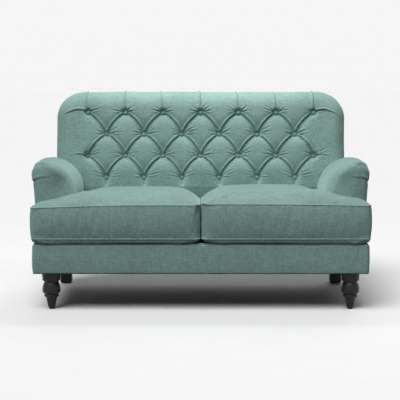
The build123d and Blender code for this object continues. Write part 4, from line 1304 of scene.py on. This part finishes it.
def makeDeck():
    s = deckShape
    xs, (_, left, right, _) = cellLine((-s["wide"], -s["narrow"], s["narrow"], s["wide"]), s["cell"])
    ys, (_, front, _) = cellLine((s["front"], s["ear"], s["rear"]), s["cell"])
    active = np.zeros((len(xs) - 1, len(ys) - 1), bool)
    active[left:right, :] = True
    active[:, :front] = True
    shape = {
        "warp": lambda px, py: (px, py),
        "top": lambda px, py: s["height"] + slackNoise(np.stack((px, py, 0 * px), axis=1), s["slack"]),
        "low": lambda px, py: np.full(len(px), s["underside"]),
        "seam": s["seam"],
        "tuck": s["tuck"],
        "lip": 0.0,
        "cornerTuck": 0.0,
        "pull": lambda rim: np.ones(len(rim)),
        "rings": (0.3, 0.7),
        "bulge": lambda rim, t: np.full(len(rim), s["swell"] * math.sin(math.pi * t)),
        "hand": 1,
        "creep": lambda points: np.zeros(len(points)),
    }
    piece = sewnPad("seatDeck", xs, ys, active, shape, deckCloth)[0]
    settle(piece, "frame", ("deck_pad",))


makeDeck()

# Rolled arms: full at the front, a little lower towards the back
armShape = {
    "inner": 536.0,
    "outer": 723.0,
    "height": 606.0,
    "innerRoll": 150.0,
    "outerRoll": 58.0,
    "hem": 527.0,
    "foot": 287.4,
    "footX": 702.0,
    "hemX": 717.0,
    "front": -311.0,
    "dome": ((536, 600, 660, 700, 716), (150, 130, 100, 70, 42)),
    "outerDome": 40.0,
    "domePower": 2.8,
    "panelStart": -262.0,
    "panelInset": 13.0,
    # the outer face, and the dome's depth low on the inner side
    "outside": 640.0,
    "domeLow": ((445, 522), (0.16, 1)),
    "domeSteps": (1, 0.9, 0.78, 0.66, 0.54, 0.43, 0.33, 0.24, 0.16, 0.1, 0.05, 0.02, 0),
    # line inside the arm that the front closes on
    "spine": ((287.4, 430, 560), (606, 604, 622)),
    "spineZ": (330, 552),
    "slope": ((-311, -120, 140, 340), (24, 19, 0, -22)),
    "rearInset": -6.0,
    "voxel": 0.0048,
    "slack": ((140, 1.6, 61), (55, 0.5, 62)),
    # hollow inside the roll of the front: across, up, half width, half height, depth and its length back
    "dish": {"x": 596, "z": 524, "wide": 36, "high": 62, "deep": 13, "back": 70},
    # folds of the front: how far back and inwards they reach, and their ridge and groove
    "fold": {"back": 110, "inner": 560, "fade": 0.3, "end": 6, "ridge": (6, 5), "groove": (1.1, -2.5, 3.6)},
}


def armOutline():
    s = armShape
    rollX, rollZ = s["inner"] + s["innerRoll"], s["height"] - s["innerRoll"]
    capX, capZ = s["outer"] - s["outerRoll"], s["height"] - s["outerRoll"]
    turn = np.linspace(0, math.pi / 2, 24)
    points = [(s["inner"], z) for z in np.linspace(s["foot"], rollZ, 18)]
    points += [(rollX - s["innerRoll"] * math.cos(a), rollZ + s["innerRoll"] * math.sin(a)) for a in turn[1:]]
    points += [(capX + s["outerRoll"] * math.sin(a), capZ + s["outerRoll"] * math.cos(a)) for a in turn]
    points += [(s["outer"] - 0.5, capZ - 8), (s["outer"] - 1.5, s["hem"] + 8), (s["outer"] - 4, s["hem"] + 1)]
    fall = np.linspace(0, 1, 24)
    lowest = s["hem"] - 3
    points += [(s["hemX"] + (s["footX"] - s["hemX"]) * t, lowest + (s["foot"] - lowest) * t) for t in fall]
    points += [(x, s["foot"]) for x in np.linspace(s["footX"], s["inner"], 16)[1:-1]]
    return np.array(points)


def armRings():
    s = armShape
    outline = armOutline()
    x, z = outline.T
    spine = np.stack((np.interp(z, *s["spine"]), np.clip(z, *s["spineZ"])), axis=1)
    depth = np.interp(x, *s["dome"]) * np.interp(z, *s["domeLow"])
    depth = np.where((x > s["outside"]) & (z < s["hem"] + 12), s["outerDome"], depth)
    rings = []
    for f in s["domeSteps"]:
        ring = outline * (1 - f) + spine * f
        y = s["front"] + depth * (1 - (1 - (1 - f) ** s["domePower"]) ** (1 / s["domePower"]))
        rings.append(np.stack((ring[:, 0], y, ring[:, 1]), axis=1))
    start = s["front"] + depth
    rear = rearPlane(z, s["rearInset"])
    # the outside panel covers the outer face, so the pad lies behind it there
    behind = (x > s["outside"]) & (z < s["hem"])
    for t in np.linspace(0, 1, 30)[1:]:
        y = start + (rear - start) * t
        inset = s["panelInset"] * np.clip((y - s["panelStart"] + 4) / 8, 0, 1) * behind
        rings.append(np.stack((x - inset, y, z), axis=1))
    for ring in rings:
        lift = np.interp(ring[:, 1], *s["slope"])
        ring[:, 2] += lift * np.clip((ring[:, 2] - s["foot"]) / (s["height"] - s["foot"]), 0, 1)
    return rings


def makeArm(hand, side):
    rings = armRings()
    size = len(rings[0])
    points = np.concatenate(rings + [rings[0].mean(axis=0)[None], rings[-1].mean(axis=0)[None]])
    head = len(rings) * size
    faces = []
    for p in range(size):
        q = (p + 1) % size
        for r in range(len(rings) - 1):
            faces.append((r * size + p, r * size + q, (r + 1) * size + q, (r + 1) * size + p))
        faces.append((head, q, p))
        faces.append((head - size + p, head - size + q, head + 1))
    piece = newObject(hand + "Arm", points * (side, 1, 1) * mm, faces, sageVelvet)
    shell = bmesh.new()
    shell.from_mesh(piece.data)
    bmesh.ops.remove_doubles(shell, verts=shell.verts, dist=0.0002)
    bmesh.ops.recalc_face_normals(shell, faces=shell.faces)
    shell.to_mesh(piece.data)
    shell.free()
    remesh = piece.modifiers.new("remesh", "REMESH")
    remesh.mode = "VOXEL"
    remesh.voxel_size = armShape["voxel"]
    remesh.use_smooth_shade = True
    soften = piece.modifiers.new("soften", "SMOOTH")
    soften.factor = 0.5
    soften.iterations = 5
    plainMesh(piece)
    foldArm(piece.data, side)
    settle(piece, "frame", (hand + "_arm_pad",))


# folds: across and up on the arm's front, from the outer edge inwards, the height and the side
armFolds = (
    (((728, 584), (710, 603), (684, 611), (640, 614)), 2.6, -1),
    (((728, 526), (706, 547), (680, 555), (628, 557)), 2.6, -1),
)


def foldArm(mesh, side):
    s, fold = armShape, armShape["fold"]
    points = vertexValues(mesh)
    x, y, z = (points / mm * (side, 1, 1)).T
    move = slackNoise(points / mm, s["slack"])
    # the front is dished a little inside its roll
    dish = s["dish"]
    hollow = bell(x, dish["x"], dish["wide"]) * bell(z, dish["z"], dish["high"])
    move -= dish["deep"] * hollow * np.clip(1 - (y - s["front"]) / dish["back"], 0, 1)
    # the folds run over the front and die away behind it
    front = np.clip(1 - (y - s["front"]) / fold["back"], 0, 1)
    pick = np.nonzero((front > 0) & (x > fold["inner"]))[0]
    t = np.linspace(0, 1, 60)
    for path, size, lie in armFolds:
        line = smoothLine(path, t, 20)
        square, nearest, away, signed = besideLine(line, x[pick], z[pick], lie)
        fade = front[pick] ** 0.5 * np.clip((1 - t[nearest]) / fold["fade"], 0, 1)
        fade = fade * bell(away - np.abs(signed), 0, fold["end"])
        deep, place, width = fold["groove"]
        move[pick] += size * fade * (bell(signed, *fold["ridge"]) - deep * bell(signed, place, width))
    movePoints(mesh, points + vertexValues(mesh, "normal") * move[:, None] * mm)


makeArm("left", -1)
makeArm("right", 1)


# Flat padded boards: outside arms and outside back
def paddedBoard(name, corners, shape):
    # corners run round the board as seen from its outside
    a, b, c, d = [np.array(corner, float) for corner in corners]
    stations = [np.linspace(0, 1, count + 1) for count in shape["cells"]]
    s, t = [grid[..., None] for grid in np.meshgrid(*stations)]
    base = a * (1 - s) * (1 - t) + b * s * (1 - t) + c * s * t + d * (1 - s) * t
    across = np.linalg.norm(b - a) * np.minimum(s, 1 - s)
    along = np.linalg.norm(d - a) * np.minimum(t, 1 - t)
    normal = np.cross(b - a, d - a)
    normal /= np.linalg.norm(normal)
    rim = (1 - np.exp(-across / shape["edge"])) * (1 - np.exp(-along / shape["edge"]))
    spot = base.reshape(-1, 3)
    rows, columns = base.shape[:2]
    soft = slackNoise(spot, ((210, 1.4, 71),)).reshape(rows, columns, 1)
    points = base + normal * (shape["puff"] + soft) * rim
    border = gridBorder(rows, columns)
    lower = (spot - normal * shape["depth"])[border]
    under = np.arange(len(border)) + rows * columns
    faces = gridFaces(rows, columns) + bandFaces(border, under) + [under[::-1].tolist()]
    return newObject(name, np.concatenate((points.reshape(-1, 3), lower)) * mm, faces, sageVelvet)


panelShape = {
    "front": -262.0,
    "foot": 290.0,
    "hem": 524.0,
    "footX": 698.0,
    "hemX": 708.5,
    "rearInset": -3.0,
    "puff": 3.5,
    "edge": 7.0,
    "depth": 6.0,
    "cells": (70, 30),
}


def makeArmPanel(hand, side):
    s = panelShape
    rearLow, rearHigh = [rearPlane(s[label], s["rearInset"]) for label in ("foot", "hem")]
    corners = [
        (side * s["footX"], s["front"], s["foot"]),
        (side * s["footX"], rearLow, s["foot"]),
        (side * s["hemX"], rearHigh, s["hem"]),
        (side * s["hemX"], s["front"], s["hem"]),
    ]
    if side < 0:
        corners = [corners[1], corners[0], corners[3], corners[2]]
    piece = paddedBoard(hand + "OutsideArm", corners, s)
    settle(piece, "frame", (hand + "_outside_arm_panel",))


makeArmPanel("left", -1)
makeArmPanel("right", 1)

outsideBack = {
    "half": 650.0,
    "foot": 162.0,
    "hem": 333.0,
    "face": -217.4,
    "puff": 5.0,
    "edge": 9.0,
    "depth": 12.0,
    "cells": (130, 64),
    # half widths at three heights: below the arms it reaches out to their outer faces
    "widths": ((162, 540, 600), (702, 697, 650)),
}


def makeOutsideBack():
    s = outsideBack
    rake = backShape["rake"]

    def spot(u, v):
        y = backShape["seatY"] + v * math.sin(rake) - s["face"] * math.cos(rake)
        z = backShape["leanZ"] + v * math.cos(rake) + s["face"] * math.sin(rake)
        return (u, y, z)

    low = (s["foot"] - backShape["leanZ"] - s["face"] * math.sin(rake)) / math.cos(rake)
    half = s["half"]
    corners = [spot(half, low), spot(-half, low), spot(-half, s["hem"]), spot(half, s["hem"])]
    piece = paddedBoard("outsideBack", corners, s)
    points = vertexValues(piece.data)
    points[:, 0] *= np.interp(points[:, 2] / mm, *s["widths"]) / half
    movePoints(piece.data, points)
    settle(piece, "frame", ("outside_back_panel",))


makeOutsideBack()

# Padded border round the base: one strip along the sides and the front
borderShape = {
    "half": 709.0,
    "front": -419.0,
    "foot": 160.5,
    "top": 288.0,
    "corner": 16.0,
    "upperRound": 16.0,
    "lowerRound": 5.0,
    "inner": 24.0,
    "swell": 2.0,
    "rear": 300.0,
    "rearInset": -2.0,
    # stations along a side and along the front
    "stations": (80, 150),
    "slack": ((150, 1.1, 81), (50, 0.35, 82)),
    "slackInset": 8.0,
}


def makeBorder():
    s = borderShape
    # section: inset from the outer face, and height
    turn = np.linspace(0, math.pi / 2, 9)
    section = [(s["inner"], s["foot"])]
    low, high = s["foot"] + s["lowerRound"], s["top"] - s["upperRound"]
    r = s["lowerRound"]
    section += [(r * (1 - math.sin(a)), s["foot"] + r * (1 - math.cos(a))) for a in turn]
    rise = np.linspace(0, 1, 14)[1:-1]
    section += [(-s["swell"] * math.sin(math.pi * t) ** 0.7, low + (high - low) * t) for t in rise]
    section += [(s["upperRound"] * (1 - math.cos(a)), high + s["upperRound"] * math.sin(a)) for a in turn]
    section += [(s["inner"], s["top"])]
    section = np.array(section)
    # path and its outward direction: rear left, front left, front right, rear right
    r, sides, fronts = s["corner"], *s["stations"]
    edgeX, edgeY = s["half"] - r, s["front"] + r
    walk = [(-s["half"], y, -1, 0) for y in np.linspace(s["rear"], edgeY, sides)]
    for a in turn[1:-1]:
        x, y = math.cos(a), math.sin(a)
        walk.append((-s["half"] + r - r * x, edgeY - r * y, -x, -y))
    walk += [(x, s["front"], 0, -1) for x in np.linspace(-s["half"] + r, edgeX, fronts)]
    for a in turn[1:-1]:
        x, y = math.sin(a), math.cos(a)
        walk.append((edgeX + r * x, edgeY - r * y, x, -y))
    walk += [(s["half"], y, 1, 0) for y in np.linspace(edgeY, s["rear"], sides)]
    path, out = np.array(walk)[:, :2], np.array(walk)[:, 2:]
    count, size = len(path), len(section)
    points = np.zeros((count, size, 3))
    points[..., :2] = path[:, None] - out[:, None] * section[None, :, :1]
    points[..., 2] = section[None, :, 1]
    # the rear ends follow the slope of the back
    slope = rearPlane(points[..., 2], s["rearInset"])
    ahead = points[..., 1]
    sidePart = np.abs(out[:, 0])[:, None] > 0.99
    points[..., 1] = np.where(sidePart & (ahead > 0), ahead * slope / s["rear"], ahead)
    # only the outer face is slack
    wave = slackNoise(points.reshape(-1, 3), s["slack"]).reshape(count, size)
    wave = wave * (section[:, 0] < s["slackInset"])
    points[..., :2] += out[:, None] * wave[..., None]
    faces = []
    for p in range(count - 1):
        for q in range(size):
            n = (q + 1) % size
            faces.append([p * size + q, (p + 1) * size + q, (p + 1) * size + n, p * size + n])
    faces.append(list(range(size)))
    faces.append([(count - 1) * size + q for q in range(size)][::-1])
    piece = newObject("baseBorder", points.reshape(-1, 3) * mm, faces, sageVelvet)
    settle(piece, "frame", ("front_border", "left_side_border", "right_side_border"))


makeBorder()

# Dust cover: black lining stretched under the frame, open round the legs and stapled along its edges
dustShape = {
    "half": 706.0,
    "front": -416.0,
    "rear": 284.5,
    "underside": 159.1,
    "thick": 0.6,
    "sag": 2.5,
    "sagReach": 90.0,
    "sagVary": 0.35,
    "cell": 20.0,
    "legX": 635.0,
    "frontLegY": -360.0,
    "frontOpening": 41.5,
    "rearLegY": 236.5,
    "rearOpening": 28.0,
    # staples along the edges: places in millimetres, sizes in metres
    "stapleInset": 9.0,
    "stapleEnd": 14.0,
    "crown": 0.011,
    "leg": 0.007,
    "gauge": 0.0005,
    "pitch": 0.045,
}


def denseLine(corners, step):
    points = []
    for a, b in zip(corners, corners[1:] + corners[:1]):
        count = max(1, round(math.dist(a, b) / step))
        points += [(a[0] + (b[0] - a[0]) * k / count, a[1] + (b[1] - a[1]) * k / count) for k in range(count)]
    return points


def rimDistance(spots, rim):
    return np.sqrt(((spots[:, None] - rim[None]) ** 2).sum(axis=2)).min(axis=1)


def makeDustCover():
    s = dustShape
    inner, outer = s["legX"] - s["rearOpening"], s["legX"] + s["rearOpening"]
    notch = [(outer, s["rear"]), (outer, s["rearLegY"]), (inner, s["rearLegY"]), (inner, s["rear"])]
    corners = [(-s["half"], s["front"]), (s["half"], s["front"]), (s["half"], s["rear"])] + notch
    corners += [(-x, y) for x, y in notch[::-1]] + [(-s["half"], s["rear"])]
    loops = [denseLine(corners, s["cell"])]
    turn = np.linspace(0, 2 * math.pi, 40, endpoint=False)
    for side in (-1, 1):
        ring = s["frontOpening"] * np.stack((np.cos(turn), np.sin(turn)), axis=1)
        loops.append([tuple(spot) for spot in ring + (side * s["legX"], s["frontLegY"])])
    rim = np.concatenate(loops)
    xs = np.arange(-s["half"] + s["cell"], s["half"], s["cell"])
    ys = np.arange(s["front"] + s["cell"], s["rear"], s["cell"])
    inside = np.stack(np.meshgrid(xs, ys), axis=-1).reshape(-1, 2)
    inside = inside[rimDistance(inside, rim) > 0.55 * s["cell"]]
    flat = [Vector(spot) for spot in np.concatenate((rim, inside))]
    result = delaunay_2d_cdt(flat, closedEdges(loops), [], 2, 1e-6)
    spots = np.array([tuple(spot) for spot in result[0]])
    faces = [face for face in result[2] if insideCover(spots[list(face)].mean(axis=0))]
    away = rimDistance(spots, rim)
    uneven = 1 + s["sagVary"] * softNoise(np.c_[spots, 0 * away], 160, 91)
    fall = s["sag"] * (1 - np.exp(-((away / s["sagReach"]) ** 1.5))) * uneven
    low = np.c_[spots, s["underside"] - fall]
    high = low + (0, 0, s["thick"])
    count = len(spots)
    used = dict.fromkeys(pair for face in faces for pair in zip(face, face[1:] + face[:1]))
    walls = [(a, b, b + count, a + count) for a, b in used if (b, a) not in used]
    shell = [face[::-1] for face in faces] + [tuple(k + count for k in face) for face in faces] + walls
    points = np.concatenate((low, high)) * mm
    piece = newObject("dustCover", points, shell, finishes["black_lining"], smooth=False)
    bare = bmesh.new()
    bare.from_mesh(piece.data)
    bmesh.ops.delete(bare, geom=[v for v in bare.verts if not v.link_faces], context="VERTS")
    bare.to_mesh(piece.data)
    bare.free()
    settle(piece, "frame", ("dust_cover",))


def insideCover(spot):
    s = dustShape
    x, y = abs(spot[0]), spot[1]
    # the chords of an opening's outline lie a little inside its circle
    if math.hypot(x - s["legX"], y - s["frontLegY"]) < s["frontOpening"] * 0.996:
        return False
    return not (abs(x - s["legX"]) < s["rearOpening"] and y > s["rearLegY"])


makeDustCover()


def makeStapleTree():
    inputs = {"Crown": "number", "Leg": "number", "Gauge": "number", "Pitch": "number", "Finish": "material"}
    tree, start, end = geometryTree("staples", inputs)
    given = start.outputs
    ends = []
    for share in (-0.5, 0.5):
        side = mathNode(tree, "MULTIPLY", given["Crown"], share)
        tip = feedNode(tree, "ShaderNodeCombineXYZ", {"X": side, "Z": given["Leg"]})
        bend = feedNode(tree, "ShaderNodeCombineXYZ", {"X": side})
        ends.append((tip.outputs[0], bend.outputs[0]))
    wire = tree.nodes.new("GeometryNodeJoinGeometry")
    for first, second in (ends[0], (ends[0][1], ends[1][1]), ends[1][::-1]):
        part = feedNode(tree, "GeometryNodeCurvePrimitiveLine", {"Start": first, "End": second})
        tree.links.new(part.outputs[0], wire.inputs[0])
    ring = feedNode(tree, "GeometryNodeCurvePrimitiveCircle", {"Radius": given["Gauge"]}, Resolution=6)
    feeds = {"Curve": wire.outputs[0], "Profile Curve": ring.outputs["Curve"]}
    staple = feedNode(tree, "GeometryNodeCurveToMesh", feeds)
    staple.inputs["Fill Caps"].default_value = True
    line = feedNode(tree, "GeometryNodeMeshToCurve", {"Mesh": given["Geometry"]})
    feeds = {"Curve": line.outputs[0], "Length": given["Pitch"]}
    places = feedNode(tree, "GeometryNodeCurveToPoints", feeds, mode="LENGTH")
    feeds = {"Vector": places.outputs["Tangent"]}
    aim = feedNode(tree, "FunctionNodeAlignRotationToVector", feeds, axis="X", pivot_axis="Z")
    feeds = {"Points": places.outputs["Points"], "Instance": staple.outputs[0], "Rotation": aim.outputs[0]}
    placed = feedNode(tree, "GeometryNodeInstanceOnPoints", feeds)
    return endTree(tree, placed, given["Finish"], end)


def makeStaples():
    s = dustShape
    inset, end = s["stapleInset"], s["stapleEnd"]
    side, front, rear = s["half"] - inset, s["front"] + inset, s["rear"] - inset
    rearEnd = s["legX"] - s["rearOpening"] - end
    lines = [
        ((-side + end, front), (side - end, front)),
        ((-rearEnd, rear), (rearEnd, rear)),
        ((-side, front + end), (-side, rear)),
        ((side, front + end), (side, rear)),
    ]
    height = s["underside"] - s["gauge"] / mm / 2
    points = [(x * mm, y * mm, height * mm) for line in lines for x, y in line]
    values = {"Crown": s["crown"], "Leg": s["leg"], "Gauge": s["gauge"], "Pitch": s["pitch"]}
    values["Finish"] = finishes["spring_steel"]
    edges = [(0, 1), (2, 3), (4, 5), (6, 7)]
    piece = growPiece("dustStaples", points, edges, makeStapleTree(), values)
    settle(piece, "frame")


makeStaples()

bpy.context.view_layer.update()
